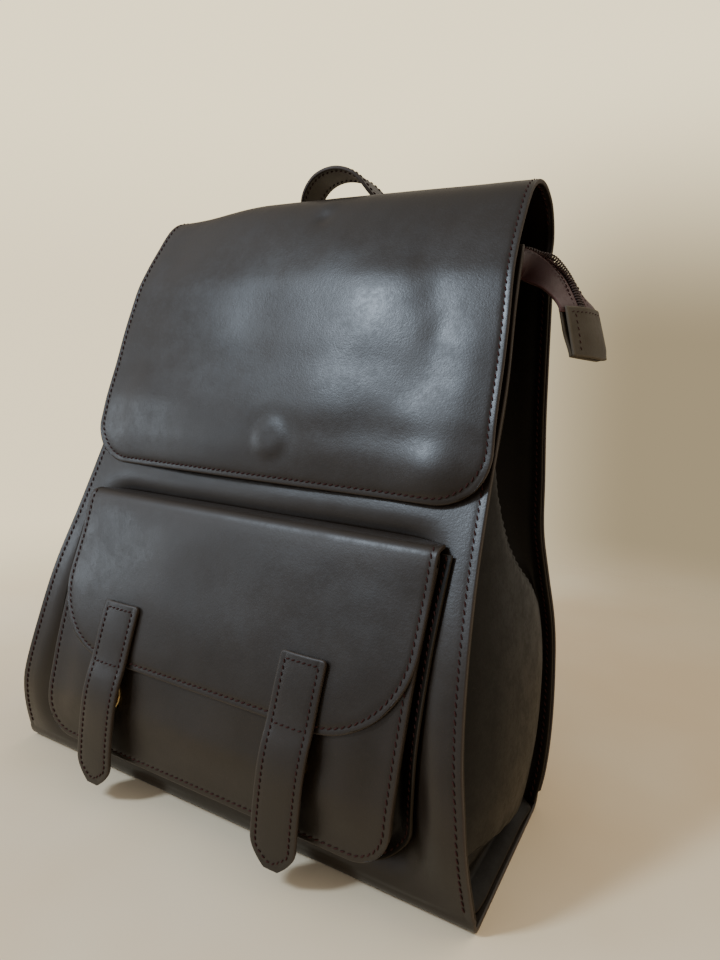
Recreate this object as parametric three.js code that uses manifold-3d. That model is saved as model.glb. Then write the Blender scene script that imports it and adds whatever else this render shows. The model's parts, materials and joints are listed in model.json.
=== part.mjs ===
// A leather backpack: wrap body with sewn side gussets, fold-over main flap, zip mouth with a hanging
// zip tail, front pocket with its own flap and two snap tabs, grab handle and buckled shoulder straps.
// Millimetres. X runs across the bag (wearer's left is -X), the front faces -Y, +Z is up, and the
// middle of the flat base is the origin.
import * as THREE from 'three';
import { mergeVertices } from 'three/addons/utils/BufferGeometryUtils.js';
import Module from 'manifold-3d';

const wasm = await Module();
wasm.setup();

// ---------------------------------------------------------------------------------------------
// Driving dimensions
// ---------------------------------------------------------------------------------------------
const LEATHER = 2.2;            // panel leather
const THIN = 1.4;               // zip facing leather
const GAP = 0.4;                // air between pieces that touch

const BODY_TOP = 296;           // height of the zip mouth
const BASE_FRONT = -51.2;       // middle of the front panel at the floor
const BASE_BACK = 51.2;         // middle of the back panel at the floor
const SEAM = 9.5;               // width of the sewn edge of a gusset

const CREST = { y: 60, z: 330 };        // top of the arch that the flap makes over the mouth
const FLAP_BOTTOM = 175;                // height of the main flap's lower edge
const FLAP_CORNER = 28;                 // radius of its lower corners

const POCKET_HALF = 114;        // half width of the pocket's front
const POCKET_BOTTOM = 22;
const POCKET_TOP = 150;
const POCKET_CORNER = 20;
const POCKET_FOLD = { y: -27.5, z: 157 };   // where the pocket flap folds over the pocket's mouth
const POCKET_FLAP_BOTTOM = 73;
const POCKET_FLAP_CORNER = 46;

const TAB_WIDTH = 25.5;
const TAB_TOP = 105;
const TAB_BOTTOM = 10;
const TAB_CENTRES = { left: -62, right: 60 };
const TAB_SNAP_Z = 56;

const FLAP_SNAP = { x: 7, z: 198 };     // the main flap's magnetic snap
const SNAP_RADIUS = 9;

const ZIP_RIDGE = { y: 62, z: 300 };    // line where the two rows of teeth meet
const MOUTH_LEFT = -83;                 // the zip leaves open between these two
const MOUTH_RIGHT = 104;
const ZIP_END = 120;                    // ends of the zip inside the side seams
const SLIDER_X = -93;                   // slider's closed place

const HANDLE_X = -9;                    // middle of the grab handle
const STRAP_WIDTH = 30;
const STRAP_TOP_X = 62;
const STRAP_FOOT_X = 96;
const BUCKLE_Z = 106;

// ---------------------------------------------------------------------------------------------
// Curves: a smooth value through [place, value] knots
// ---------------------------------------------------------------------------------------------
function smooth(knots) {
  const slopes = knots.map((knot, i) => {
    const a = knots[Math.max(i - 1, 0)];
    const b = knots[Math.min(i + 1, knots.length - 1)];
    return (b[1] - a[1]) / (b[0] - a[0]);
  });
  return (place) => {
    const last = knots.length - 1;
    if (place <= knots[0][0]) return knots[0][1];
    if (place >= knots[last][0]) return knots[last][1];
    let i = 0;
    while (place > knots[i + 1][0]) i += 1;
    const width = knots[i + 1][0] - knots[i][0];
    const t = (place - knots[i][0]) / width;
    const keep = (1 + 2 * t) * (1 - t) ** 2;
    const rise = t * (1 - t) ** 2 * slopes[i] * width;
    const fall = t * t * (t - 1) * slopes[i + 1] * width;
    return knots[i][1] * keep + rise + knots[i + 1][1] * (1 - keep) + fall;
  };
}

const blend = (a, b, t) => a + (b - a) * t;
const ease = (t) => {
  const c = Math.min(Math.max(t, 0), 1);
  return c * c * (3 - 2 * c);
};
const steps = (from, to, count) => Array.from({ length: count + 1 }, (_, i) => blend(from, to, i / count));

// Side seams: how far the front and back panels stand from the middle at each height.
const frontY = smooth([[0, BASE_FRONT], [20, -56], [33, -58], [47, -58], [78, -51.5], [112, -40.5],
  [148, -24], [185, -6.5], [225, 12], [268, 25], [BODY_TOP, 37]]);
const backY = smooth([[0, BASE_BACK], [20, 57], [47, 65], [78, 80], [98, 83], [125, 76], [150, 71.5],
  [178, 73.5], [210, 75], [242, 77], [272, 81.5], [BODY_TOP, 85]]);
const frontHalf = smooth([[0, 150], [20, 148.5], [47, 145.3], [78, 139.8], [112, 135.5], [148, 131.2],
  [185, 128.5], [225, 126.5], [268, 124], [BODY_TOP, 122]]);
const backHalf = smooth([[0, 143], [20, 145.5], [47, 145], [78, 140], [98, 137], [125, 134], [150, 131],
  [178, 129], [210, 127], [242, 125.6], [272, 123.7], [BODY_TOP, 122]]);

// The front panel sinks between its side seams where the pocket hangs on it.
const HOLLOW = 14;
function hollow(x, z) {
  const across = ease((frontHalf(z) - 12 - Math.abs(x)) / 26);
  const up = ease((z - 8) / 26) * ease((169 - z) / 28);
  return HOLLOW * across * up;
}
const panelY = (x, z) => frontY(z) + hollow(x, z);

// Heights that the body panels share, so that their facets lie parallel.
const LEVELS = [0.7, 5, 10, 20, 33, 47, 62, 78, 95, 112, 130, 148, 166, 185, 205, 225, 246, 268, 288];

// ---------------------------------------------------------------------------------------------
// Solids
// ---------------------------------------------------------------------------------------------
function closed(points, faces) {
  const corners = points.flatMap((p) => [p.x, p.y, p.z]);
  let volume = 0;
  for (const [a, b, c] of faces) {
    volume += points[a].dot(new THREE.Vector3().crossVectors(points[b], points[c]));
  }
  const outward = volume > 0 ? faces : faces.map(([a, b, c]) => [a, c, b]);
  const geometry = new THREE.BufferGeometry();
  geometry.setAttribute('position', new THREE.Float32BufferAttribute(corners, 3));
  geometry.setIndex(outward.flat());
  return geometry;
}

// A sheet of leather: rows of middle-surface points, given thickness with mitred bends.
function sheet(rows, thickness) {
  const count = rows.length;
  const wide = rows[0].length;
  const at = (r, c) => r * wide + c;
  const facing = (r, c) => {
    const across = new THREE.Vector3().subVectors(rows[r][c + 1], rows[r][c]);
    const other = new THREE.Vector3().subVectors(rows[r + 1][c + 1], rows[r + 1][c]);
    const down = new THREE.Vector3().subVectors(rows[r + 1][c], rows[r][c]);
    const far = new THREE.Vector3().subVectors(rows[r + 1][c + 1], rows[r][c + 1]);
    return across.add(other).cross(down.add(far)).normalize();
  };
  const upper = [];
  const lower = [];
  for (let r = 0; r < count; r += 1) {
    for (let c = 0; c < wide; c += 1) {
      const around = [];
      for (const i of [r - 1, r]) {
        for (const j of [c - 1, c]) {
          if (i >= 0 && j >= 0 && i < count - 1 && j < wide - 1) around.push(facing(i, j));
        }
      }
      const normal = around.reduce((sum, n) => sum.add(n), new THREE.Vector3()).normalize();
      const mitre = around.reduce((sum, n) => sum + n.dot(normal), 0) / around.length;
      const shift = normal.multiplyScalar(thickness / 2 / Math.max(mitre, 0.6));
      upper.push(rows[r][c].clone().add(shift));
      lower.push(rows[r][c].clone().sub(shift));
    }
  }
  const under = upper.length;
  const faces = [];
  const quad = (a, b, c, d) => faces.push([a, b, c], [a, c, d]);
  for (let r = 0; r < count - 1; r += 1) {
    for (let c = 0; c < wide - 1; c += 1) {
      quad(at(r, c), at(r, c + 1), at(r + 1, c + 1), at(r + 1, c));
      quad(under + at(r, c), under + at(r + 1, c), under + at(r + 1, c + 1), under + at(r, c + 1));
    }
  }
  const rim = [];
  for (let c = 0; c < wide - 1; c += 1) rim.push(at(0, c));
  for (let r = 0; r < count - 1; r += 1) rim.push(at(r, wide - 1));
  for (let c = wide - 1; c > 0; c -= 1) rim.push(at(count - 1, c));
  for (let r = count - 1; r > 0; r -= 1) rim.push(at(r, 0));
  rim.forEach((a, i) => {
    const b = rim[(i + 1) % rim.length];
    quad(b, a, under + a, under + b);
  });
  return closed([...upper, ...lower], faces);
}

// A solid through a row of equal rings, capped at both ends.
function loft(rings, capOutline) {
  const wide = rings[0].length;
  const faces = [];
  for (let r = 0; r < rings.length - 1; r += 1) {
    for (let c = 0; c < wide; c += 1) {
      const d = (c + 1) % wide;
      const a = r * wide;
      const b = a + wide;
      faces.push([a + c, a + d, b + d], [a + c, b + d, b + c]);
    }
  }
  const last = (rings.length - 1) * wide;
  const along = Math.sign(THREE.ShapeUtils.area(capOutline));
  for (const corners of THREE.ShapeUtils.triangulateShape(capOutline, [])) {
    const turn = Math.sign(THREE.ShapeUtils.area(corners.map((i) => capOutline[i])));
    const [a, b, c] = turn === along ? corners : [...corners].reverse();
    faces.push([a, c, b], [last + a, last + b, last + c]);
  }
  return closed(rings.flat(), faces);
}

const point = (x, y, z) => new THREE.Vector3(x, y, z);

function toSolid(geometry) {
  const bare = geometry.clone();
  bare.deleteAttribute('normal');
  bare.deleteAttribute('uv');
  const merged = mergeVertices(bare, 1e-4);
  return new wasm.Manifold(new wasm.Mesh({
    numProp: 3,
    vertProperties: new Float32Array(merged.attributes.position.array),
    triVerts: new Uint32Array(merged.index.array),
  }));
}

function fromSolid(solid) {
  const mesh = solid.getMesh();
  const geometry = new THREE.BufferGeometry();
  geometry.setAttribute('position', new THREE.Float32BufferAttribute(mesh.vertProperties, 3));
  geometry.setIndex(Array.from(mesh.triVerts));
  return geometry;
}

function join(...geometries) {
  return fromSolid(geometries.map(toSolid).reduce((sum, solid) => sum.add(solid)));
}

function cut(geometry, ...tools) {
  return fromSolid(tools.map(toSolid).reduce((left, tool) => left.subtract(tool), toSolid(geometry)));
}

function extrude(outline, depth, hole) {
  const shape = new THREE.Shape(outline);
  if (hole) shape.holes.push(new THREE.Path(hole));
  return new THREE.ExtrudeGeometry(shape, { depth, bevelEnabled: false, curveSegments: 6 });
}

function roundedRectangle(width, height, radius, segments = 4) {
  const points = [];
  const corners = [[1, 1, 0], [-1, 1, 90], [-1, -1, 180], [1, -1, 270]];
  for (const [sx, sy, start] of corners) {
    for (const turn of steps(start, start + 90, segments)) {
      const angle = THREE.MathUtils.degToRad(turn);
      points.push(new THREE.Vector2(
        sx * (width / 2 - radius) + radius * Math.cos(angle),
        sy * (height / 2 - radius) + radius * Math.sin(angle),
      ));
    }
  }
  return points;
}

// ---------------------------------------------------------------------------------------------
// Materials and the scene graph
// ---------------------------------------------------------------------------------------------
const finish = (color, roughness, metalness = 0) => new THREE.MeshStandardMaterial(
  { color, roughness, metalness, side: THREE.DoubleSide },
);
const LOOKS = {
  leather: () => finish(0x3a3432, 0.5),
  burgundy: () => finish(0x4a2328, 0.55),
  olive: () => finish(0x5a5240, 0.7),
  tape: () => finish(0x2a211f, 0.9),
  coil: () => finish(0x33231f, 0.4),
  brass: () => finish(0xb8954a, 0.3, 1),
  steel: () => finish(0x9a9a98, 0.35, 1),
};

const backpack = new THREE.Group();

function add(name, geometry, look, place) {
  const mesh = new THREE.Mesh(geometry, LOOKS[look]());
  mesh.name = name;
  if (place) place(mesh);
  backpack.add(mesh);
  return mesh;
}

// ---------------------------------------------------------------------------------------------
// Body: front, base and back panels
// ---------------------------------------------------------------------------------------------
function panelColumns(half) {
  const inner = half - SEAM - 2.5;
  return [-half, -inner, -inner + 13, -inner + 26, -70, -35, 0, 35, 70, inner - 26, inner - 13, inner, half];
}

function frontPanel() {
  const rows = [...LEVELS, BODY_TOP].map((z) => panelColumns(frontHalf(z)).map(
    (x) => point(x, panelY(x, z), z),
  ));
  return sheet(rows, LEATHER);
}

function backPanel() {
  const rows = [...LEVELS, BODY_TOP].map((z) => steps(-1, 1, 6).map(
    (u) => point(u * backHalf(z), backY(z), z),
  ));
  return sheet(rows, LEATHER);
}

function basePanel() {
  const inset = LEATHER / 2 + GAP;
  const front = BASE_FRONT + inset;
  const back = BASE_BACK - inset;
  const outline = [[-149.5, front], [149.5, front], [142.6, back], [-142.6, back]];
  return extrude(outline.map(([x, y]) => new THREE.Vector2(x, y)), LEATHER);
}

add('front_panel', frontPanel(), 'leather');
add('back_panel', backPanel(), 'leather');
add('base_panel', basePanel(), 'leather');

// ---------------------------------------------------------------------------------------------
// Side gussets: sewn edges turned outwards, folded in at the top and full at the bottom
// ---------------------------------------------------------------------------------------------
const gussetBelly = smooth([[0, 0], [25, 3.5], [50, 9], [80, 12], [110, 11.5], [140, 8.5], [175, 6], [215, 3], [255, 0]]);
const gussetDepth = smooth([[110, 0], [125, 6], [140, 17], [160, 27], [185, 34], [215, 38], [255, 43], [290, 46]]);
const gussetRidge = smooth([[110, 0.9], [125, 0.76], [140, 0.58], [160, 0.38], [185, 0.22], [215, 0.1], [255, 0]]);
const GUSSET_OFFSET = 3.1;

// How far the gusset stands out at a height, and at a share of the way from its front seam to its
// back seam. Behind its ridge it falls into the side, and at the foot it turns out to meet the base.
function gussetShift(u, z) {
  const arch = (t, power = 1.6) => 1 - Math.abs(2 * t - 1) ** power;
  const ridge = gussetRidge(z);
  const behind = Math.max((u - ridge) / (1 - ridge), 0);
  const foot = (SEAM - 1.5) * ease((11 - z) / 9) * ease(u / 0.1) * ease((1 - u) / 0.1);
  return gussetBelly(z) * arch(u, 2.6) - gussetDepth(z) * arch(behind) + foot;
}

function gusset(side) {
  const levels = [LEATHER + 3 * GAP, ...LEVELS.slice(1)];
  const rows = levels.map((z) => {
    const front = frontY(z) + GUSSET_OFFSET;
    const back = backY(z) - GUSSET_OFFSET;
    const frontX = frontHalf(z) - SEAM;
    const backX = backHalf(z) - SEAM;
    const row = [point(side * (frontHalf(z) - 0.5), front, z)];
    for (const u of [0, 0.05, 0.12, 0.22, 0.32, 0.43, 0.54, 0.65, 0.76, 0.86, 0.94, 1]) {
      row.push(point(side * (blend(frontX, backX, u) + gussetShift(u, z)), blend(front, back, u), z));
    }
    row.push(point(side * (backHalf(z) - 0.5), back, z));
    return row;
  });
  return sheet(rows, LEATHER - 0.2);
}

add('side_gusset_left', gusset(-1), 'leather');
add('side_gusset_right', gusset(1), 'leather');

// ---------------------------------------------------------------------------------------------
// Flap: a fixed crown behind the crest, and the moving flap in front of it
// ---------------------------------------------------------------------------------------------
const flapHalf = smooth([[FLAP_BOTTOM, 131], [215, 128], [255, 126], [295, 122.5], [CREST.z, 121.5]]);

function strip(path, columns, halfAt) {
  return path.map(([y, z], row) => columns.map((u) => point(u * halfAt(z, row), y, z)));
}

function flapCrown() {
  const path = [[85.3, BODY_TOP + 1.8], [85.2, 305], [83, 314], [78.5, 322], [71, 327.5],
    [CREST.y + 0.6, CREST.z]];
  return sheet(strip(path, steps(-1, 1, 6), () => 121.5), LEATHER);
}

const FLAP_PATH = [[CREST.y - 0.6, CREST.z], [53, 328.6], [46.5, 325], [40.8, 319], [35.8, 312],
  [30.3, 303.5], [24.5, 293.5], [18, 281], [12, 265], [7, 251], [2.4, 237], [-2.4, 224], [-6.3, 213],
  [-9, FLAP_BOTTOM + FLAP_CORNER], [-11.8, 193], [-13.4, 184], [-14, 179], [-14.3, 176.5],
  [-14.5, FLAP_BOTTOM]];

function mainFlap() {
  const half = (z) => {
    const lift = Math.min(z - FLAP_BOTTOM, FLAP_CORNER);
    const arc = FLAP_CORNER - Math.sqrt(FLAP_CORNER ** 2 - (FLAP_CORNER - lift) ** 2);
    return flapHalf(z) - arc;
  };
  return sheet(strip(FLAP_PATH, [-1, -0.8, -0.5, -0.2, 0.2, 0.5, 0.8, 1], half), LEATHER);
}

add('flap_crown', flapCrown(), 'leather');
add('main_flap', mainFlap(), 'leather');

// ---------------------------------------------------------------------------------------------
// Magnetic snaps: a magnet cup, a button that drops into it, and the washer behind the leather
// ---------------------------------------------------------------------------------------------
function disc(radius, height, bore = 0, sides = 20) {
  const profile = [[bore, 0], [radius - 0.4, 0], [radius, 0.4], [radius, height - 0.4],
    [radius - 0.4, height], [bore, height]];
  if (bore > 0) profile.push([bore, 0]);
  return new THREE.LatheGeometry(profile.map(([r, h]) => new THREE.Vector2(r, h)), sides);
}

function snapButton() {
  const profile = [[0, 0], [SNAP_RADIUS, 0], [SNAP_RADIUS, 0.6], [SNAP_RADIUS - 1, 1.1], [3, 1.1], [2.6, 1.9],
    [0, 1.9]];
  return new THREE.LatheGeometry(profile.map(([r, h]) => new THREE.Vector2(r, h)), 20);
}

function snapCup() {
  const profile = [[0, 0], [SNAP_RADIUS, 0], [SNAP_RADIUS, 1.7], [SNAP_RADIUS - 0.7, 2.2], [4.2, 2.2], [4, 1.2],
    [0, 1.2]];
  return new THREE.LatheGeometry(profile.map(([r, h]) => new THREE.Vector2(r, h)), 20);
}

// Points a lathe's +Y axis along a direction in the YZ plane and sets it at a place.
function stand(x, y, z, towardsY, towardsZ) {
  return (mesh) => {
    mesh.quaternion.setFromUnitVectors(point(0, 1, 0), point(0, towardsY, towardsZ).normalize());
    mesh.position.set(x, y, z);
  };
}

function flapSnap() {
  const { x, z } = FLAP_SNAP;
  const panel = panelY(x, z);
  add('flap_snap_cup', snapCup(), 'brass', stand(x, panel - 1.9, z + 1, -0.9, 0.43));
  add('flap_snap_washer', disc(7, 1), 'steel', stand(x, panel + 1.9, z - 1, 0.9, -0.43));
  add('flap_snap_button', snapButton(), 'brass', stand(x, -8.7, z, 0.96, -0.27));
}
flapSnap();

// ---------------------------------------------------------------------------------------------
// Zip: two leather leaves with tape and teeth, fixed ends, hanging tail, end tab, slider and pull
// ---------------------------------------------------------------------------------------------
const LEAF_ROOT = { front: { y: 41.2, z: 293.6 }, rear: { y: 81.8, z: 294.2 } };

// A place on the roof of the zip: along the leaf from the ridge, and above its surface.
function roof(side, along, above) {
  const root = LEAF_ROOT[side];
  const run = new THREE.Vector2(root.y - ZIP_RIDGE.y, root.z - ZIP_RIDGE.z).normalize();
  const up = side === 'front' ? new THREE.Vector2(run.y, -run.x) : new THREE.Vector2(-run.y, run.x);
  return new THREE.Vector2(
    ZIP_RIDGE.y + run.x * along + up.x * above,
    ZIP_RIDGE.z + run.y * along + up.y * above,
  );
}

const leafLength = (side) => Math.hypot(
  LEAF_ROOT[side].y - ZIP_RIDGE.y,
  LEAF_ROOT[side].z - ZIP_RIDGE.z,
);

function bar(section, from, to) {
  const rings = [from, to].map((x) => section.map((p) => point(x, p.x, p.y)));
  return loft(rings, section);
}

function leafStrip(side, near, far, low, high) {
  const section = [roof(side, near, low), roof(side, far, low), roof(side, far, high), roof(side, near, high)];
  return bar(section, MOUTH_LEFT, MOUTH_RIGHT);
}

for (const side of ['front', 'rear']) {
  const length = leafLength(side);
  add(`zip_facing_${side}`, leafStrip(side, 4.6, length, -THIN / 2, THIN / 2), 'burgundy');
  add(`zip_tape_${side}`, leafStrip(side, 1.2, 14, -1.8, -1.1), 'tape');
  add(`zip_coil_${side}`, leafStrip(side, 0.6, 3, -0.7, 1.5), 'coil');
}

// Closed part of the zip, as it is at both ends: both facings and the meshed teeth in one section.
function roofSection() {
  const section = [
    roof('front', leafLength('front'), -THIN / 2), roof('front', 3.2, -THIN / 2 - 0.9),
    roof('rear', 3.2, -THIN / 2 - 0.9), roof('rear', leafLength('rear'), -THIN / 2),
    roof('rear', leafLength('rear'), THIN / 2), roof('rear', 3.2, THIN / 2),
    roof('rear', 2.6, 1.5), roof('front', 2.6, 1.5), roof('front', 3.2, THIN / 2),
    roof('front', leafLength('front'), THIN / 2),
  ];
  return section;
}

add('zip_end_left', bar(roofSection(), -ZIP_END, MOUTH_LEFT - GAP), 'burgundy');

// The tail: stations along its ridge, each with its turn down, turn round, width and roof height.
const TAIL = [
  { x: MOUTH_RIGHT + GAP, y: 62, z: 300, droop: 0, turn: 0, scale: 1, rise: 1 },
  { x: 111, y: 62, z: 300, droop: 2, turn: 0, scale: 0.93, rise: 1.35 },
  { x: 118, y: 62, z: 299.5, droop: 8, turn: 2, scale: 0.68, rise: 2.3 },
  { x: 125, y: 61.5, z: 296.5, droop: 30, turn: 6, scale: 0.52, rise: 2.7 },
  { x: 132.5, y: 60, z: 290.5, droop: 45, turn: 10, scale: 0.56, rise: 2.4 },
  { x: 140, y: 57.5, z: 281.5, droop: 56, turn: 14, scale: 0.68, rise: 1.5 },
  { x: 146, y: 54.5, z: 270, droop: 68, turn: 18, scale: 0.76, rise: 0.5 },
];

function stationRing({ x, y, z, droop, turn, scale, rise }, section) {
  const swing = new THREE.Euler(0, THREE.MathUtils.degToRad(droop), THREE.MathUtils.degToRad(-turn), 'ZYX');
  return section.map((p) => point(0, (p.x - ZIP_RIDGE.y) * scale, (p.y - ZIP_RIDGE.z) * rise)
    .applyEuler(swing).add(point(x, y, z)));
}

function zipTail() {
  const section = roofSection();
  return loft(TAIL.map((station) => stationRing(station, section)), section);
}
add('zip_tail', zipTail(), 'burgundy');

// A folded leather tab sewn over the end of the tail.
function endTab() {
  const tail = TAIL[TAIL.length - 1];
  const outline = [[-15.5, -4.6], [15.5, -4.6], [15.5, -1], [3, 2.6], [-3, 2.6], [-15.5, -1]]
    .map(([w, h]) => new THREE.Vector2(ZIP_RIDGE.y + w, ZIP_RIDGE.z + h));
  const down = point(0.3, -0.02, -1).normalize();
  const rings = [1.2, 14, 26].map((drop, i) => stationRing({
    x: tail.x + down.x * drop,
    y: tail.y + down.y * drop,
    z: tail.z + down.z * drop,
    droop: 73,
    turn: 20,
    scale: 1 + 0.03 * i,
    rise: 1,
  }, outline));
  return loft(rings, outline);
}
add('zip_end_tab', endTab(), 'olive');

function slider() {
  const top = ZIP_RIDGE.z + 4.2;
  const lip = [[-4.6, -2.4], [-3.7, -2.4], [-3.7, -0.9], [3.7, -0.9], [3.7, -2.4], [4.6, -2.4], [4.6, 0.6], [-4.6, 0.6]]
    .map(([y, z]) => new THREE.Vector2(ZIP_RIDGE.y + y, top + z));
  const body = bar(lip, SLIDER_X - 7, SLIDER_X + 7);
  const bridge = new THREE.BoxGeometry(9, 2.4, 3.4).translate(SLIDER_X, ZIP_RIDGE.y, top + 2);
  const eye = new THREE.BoxGeometry(5.2, 3, 2.2).translate(SLIDER_X, ZIP_RIDGE.y, top + 1.7);
  return cut(join(body, bridge), eye);
}
add('zip_slider', slider(), 'brass');

function zipPull() {
  const outline = [[-22, -3.4], [-8, -3.4], [-6, -4], [2.2, -4], [2.2, 4], [-6, 4], [-8, 3.4], [-22, 3.4]]
    .map(([x, y]) => new THREE.Vector2(x, y));
  const eye = [[-6, -2.2], [0.7, -2.2], [0.7, 2.2], [-6, 2.2]].map(([x, y]) => new THREE.Vector2(x, y));
  return extrude(outline, 1.1, eye).translate(SLIDER_X, ZIP_RIDGE.y, ZIP_RIDGE.z + 5.3);
}
add('zip_pull', zipPull(), 'brass');

// ---------------------------------------------------------------------------------------------
// Front pocket
// ---------------------------------------------------------------------------------------------
const pocketY = smooth([[POCKET_BOTTOM, -65], [45, -64], [60, -60.5], [75, -56.5], [105, -46.8], [135, -34.4],
  [POCKET_TOP, -28]]);

function pocketHalfAt(z) {
  const lift = Math.min(z - POCKET_BOTTOM, POCKET_CORNER);
  return POCKET_HALF - POCKET_CORNER + Math.sqrt(POCKET_CORNER ** 2 - (POCKET_CORNER - lift) ** 2);
}

function pocketFront() {
  const heights = [0, 1, 4, 9, 14, POCKET_CORNER].map((lift) => POCKET_BOTTOM + lift);
  const rows = [...heights, 58, 75, 95, 115, 135, POCKET_TOP].map((z) => steps(-1, 1, 6).map(
    (u) => point(u * pocketHalfAt(z), pocketY(z), z),
  ));
  return sheet(rows, LEATHER);
}
add('pocket_front', pocketFront(), 'leather');

// The gusset runs down one side, along the bottom and up the other, with both edges turned out.
function pocketOutline() {
  const line = [];
  for (const z of [148, 135, 120, 105, 90, 75, 60]) line.push({ x: POCKET_HALF, z, nx: 1, nz: 0 });
  for (const turn of steps(0, 90, 5)) {
    const angle = THREE.MathUtils.degToRad(turn);
    line.push({
      x: POCKET_HALF - POCKET_CORNER + POCKET_CORNER * Math.cos(angle),
      z: POCKET_BOTTOM + POCKET_CORNER - POCKET_CORNER * Math.sin(angle),
      nx: Math.cos(angle),
      nz: -Math.sin(angle),
    });
  }
  const mirrored = [...line].reverse().map((p) => ({ ...p, x: -p.x, nx: -p.nx }));
  const bottom = [60, 30, 0, -30, -60].map((x) => ({ x, z: POCKET_BOTTOM, nx: 0, nz: -1 }));
  return [...line, ...bottom, ...mirrored];
}

function pocketGusset() {
  const rows = pocketOutline().map(({ x, z, nx, nz }) => {
    const place = (inward) => {
      const px = x - nx * inward;
      const pz = z - nz * inward;
      return { px, pz, front: pocketY(pz) + 2.7, rear: panelY(px, pz) - blend(4.8, 3.2, ease((pz - 70) / 40)) };
    };
    const frontEdge = place(0.4);
    const frontFold = place(7);
    const rearFold = place(3.5);
    const rearEdge = place(-5);
    const start = point(frontFold.px, frontFold.front, frontFold.pz);
    const end = point(rearFold.px, rearFold.rear, rearFold.pz);
    return [
      point(frontEdge.px, frontEdge.front, frontEdge.pz),
      start,
      start.clone().lerp(end, 0.5).add(point(nx, 0, nz)),
      end,
      point(rearEdge.px, rearEdge.rear, rearEdge.pz),
    ];
  });
  return sheet(rows, LEATHER - 0.8);
}
add('pocket_gusset', pocketGusset(), 'leather');

// The pocket flap: its root reaches from the front panel to the fold over the pocket's mouth.
function pocketFlapRoot() {
  const { y, z } = POCKET_FOLD;
  const rows = [0, 0.5, 1].map((t) => steps(-1, 1, 6).map((u) => {
    const x = u * POCKET_HALF;
    const rear = panelY(x, z) - 3;
    return point(x, blend(rear, y, t), z + 1 - t);
  }));
  return sheet(rows, LEATHER);
}

const POCKET_FLAP_PATH = [[-30.4, 153.4], [-32.8, 147.5], [-37.8, 135], [-44, 120], [-49.5, 107],
  [-54.4, 94], [-57.8, 84], [-59.6, 78], [-60.4, 75], [-60.9, POCKET_FLAP_BOTTOM]];

function pocketFlap() {
  const half = (z) => {
    const lift = Math.min(z - POCKET_FLAP_BOTTOM, POCKET_FLAP_CORNER);
    const arc = POCKET_FLAP_CORNER - Math.sqrt(POCKET_FLAP_CORNER ** 2 - (POCKET_FLAP_CORNER - lift) ** 2);
    return POCKET_HALF + 0.5 - arc;
  };
  const path = POCKET_FLAP_PATH;
  return sheet(strip(path, [-1, -0.75, -0.4, 0, 0.4, 0.75, 1], half), LEATHER);
}
add('pocket_flap_root', pocketFlapRoot(), 'leather');
add('pocket_flap', pocketFlap(), 'leather');

// ---------------------------------------------------------------------------------------------
// Tabs: sewn to the pocket flap, free below its edge, with a magnetic snap each
// ---------------------------------------------------------------------------------------------
const tabY = smooth([[TAB_BOTTOM, -77], [26, -76], [42, -73.6], [TAB_SNAP_Z, -70.8], [66, -67.6],
  [74, -64.2], [90, -58.9], [TAB_TOP, -53.2]]);
const TAB_HINGE_Z = POCKET_FLAP_BOTTOM - 1;

function tabPiece(centre, heights, halfAt) {
  const rows = heights.map((z) => [-1, 0, 1].map((u) => point(centre + u * halfAt(z), tabY(z), z)));
  return sheet(rows, LEATHER);
}

function tabFreeHalf(z) {
  const tip = 15;
  const t = Math.min((z - TAB_BOTTOM) / tip, 1);
  return TAB_WIDTH / 2 * blend(0.28, 1, Math.sqrt(1 - (1 - t) ** 2));
}

for (const [side, centre] of Object.entries(TAB_CENTRES)) {
  add(`tab_sewn_${side}`, tabPiece(centre, [TAB_HINGE_Z + 0.8, 78, 90, TAB_TOP], () => TAB_WIDTH / 2), 'leather');
  const heights = [TAB_BOTTOM, 12, 16, 20, 26, 42, TAB_SNAP_Z, TAB_HINGE_Z - 0.8];
  add(`tab_free_${side}`, tabPiece(centre, heights, tabFreeHalf), 'leather');
  const front = pocketY(TAB_SNAP_Z);
  add(`tab_snap_cup_${side}`, snapCup(), 'brass', stand(centre, front - 1.7, TAB_SNAP_Z + 0.5, -0.97, 0.25));
  add(`tab_snap_washer_${side}`, disc(7, 1), 'steel', stand(centre, front + 1.8, TAB_SNAP_Z - 0.5, 0.97, -0.25));
  const inner = tabY(TAB_SNAP_Z) + 2.3;
  add(`tab_snap_button_${side}`, snapButton(), 'brass', stand(centre, inner, TAB_SNAP_Z - 0.3, 0.95, -0.3));
}

// ---------------------------------------------------------------------------------------------
// Back: grab handle, yoke, shoulder straps, buckles and anchors
// ---------------------------------------------------------------------------------------------
const FEET_TOP = 314;

function handleFoot(side) {
  const x = HANDLE_X + side * 27;
  const rows = [262, 272, 286, BODY_TOP, 304, FEET_TOP].map((z) => [-9, 9].map(
    (dx) => point(x + dx, (z > BODY_TOP ? 85.3 : backY(z)) + 2.7 + Math.max(z - 306, 0) * 0.15, z),
  ));
  return sheet(rows, LEATHER - 0.2);
}
add('handle_foot_left', handleFoot(-1), 'leather');
add('handle_foot_right', handleFoot(1), 'leather');

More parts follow.
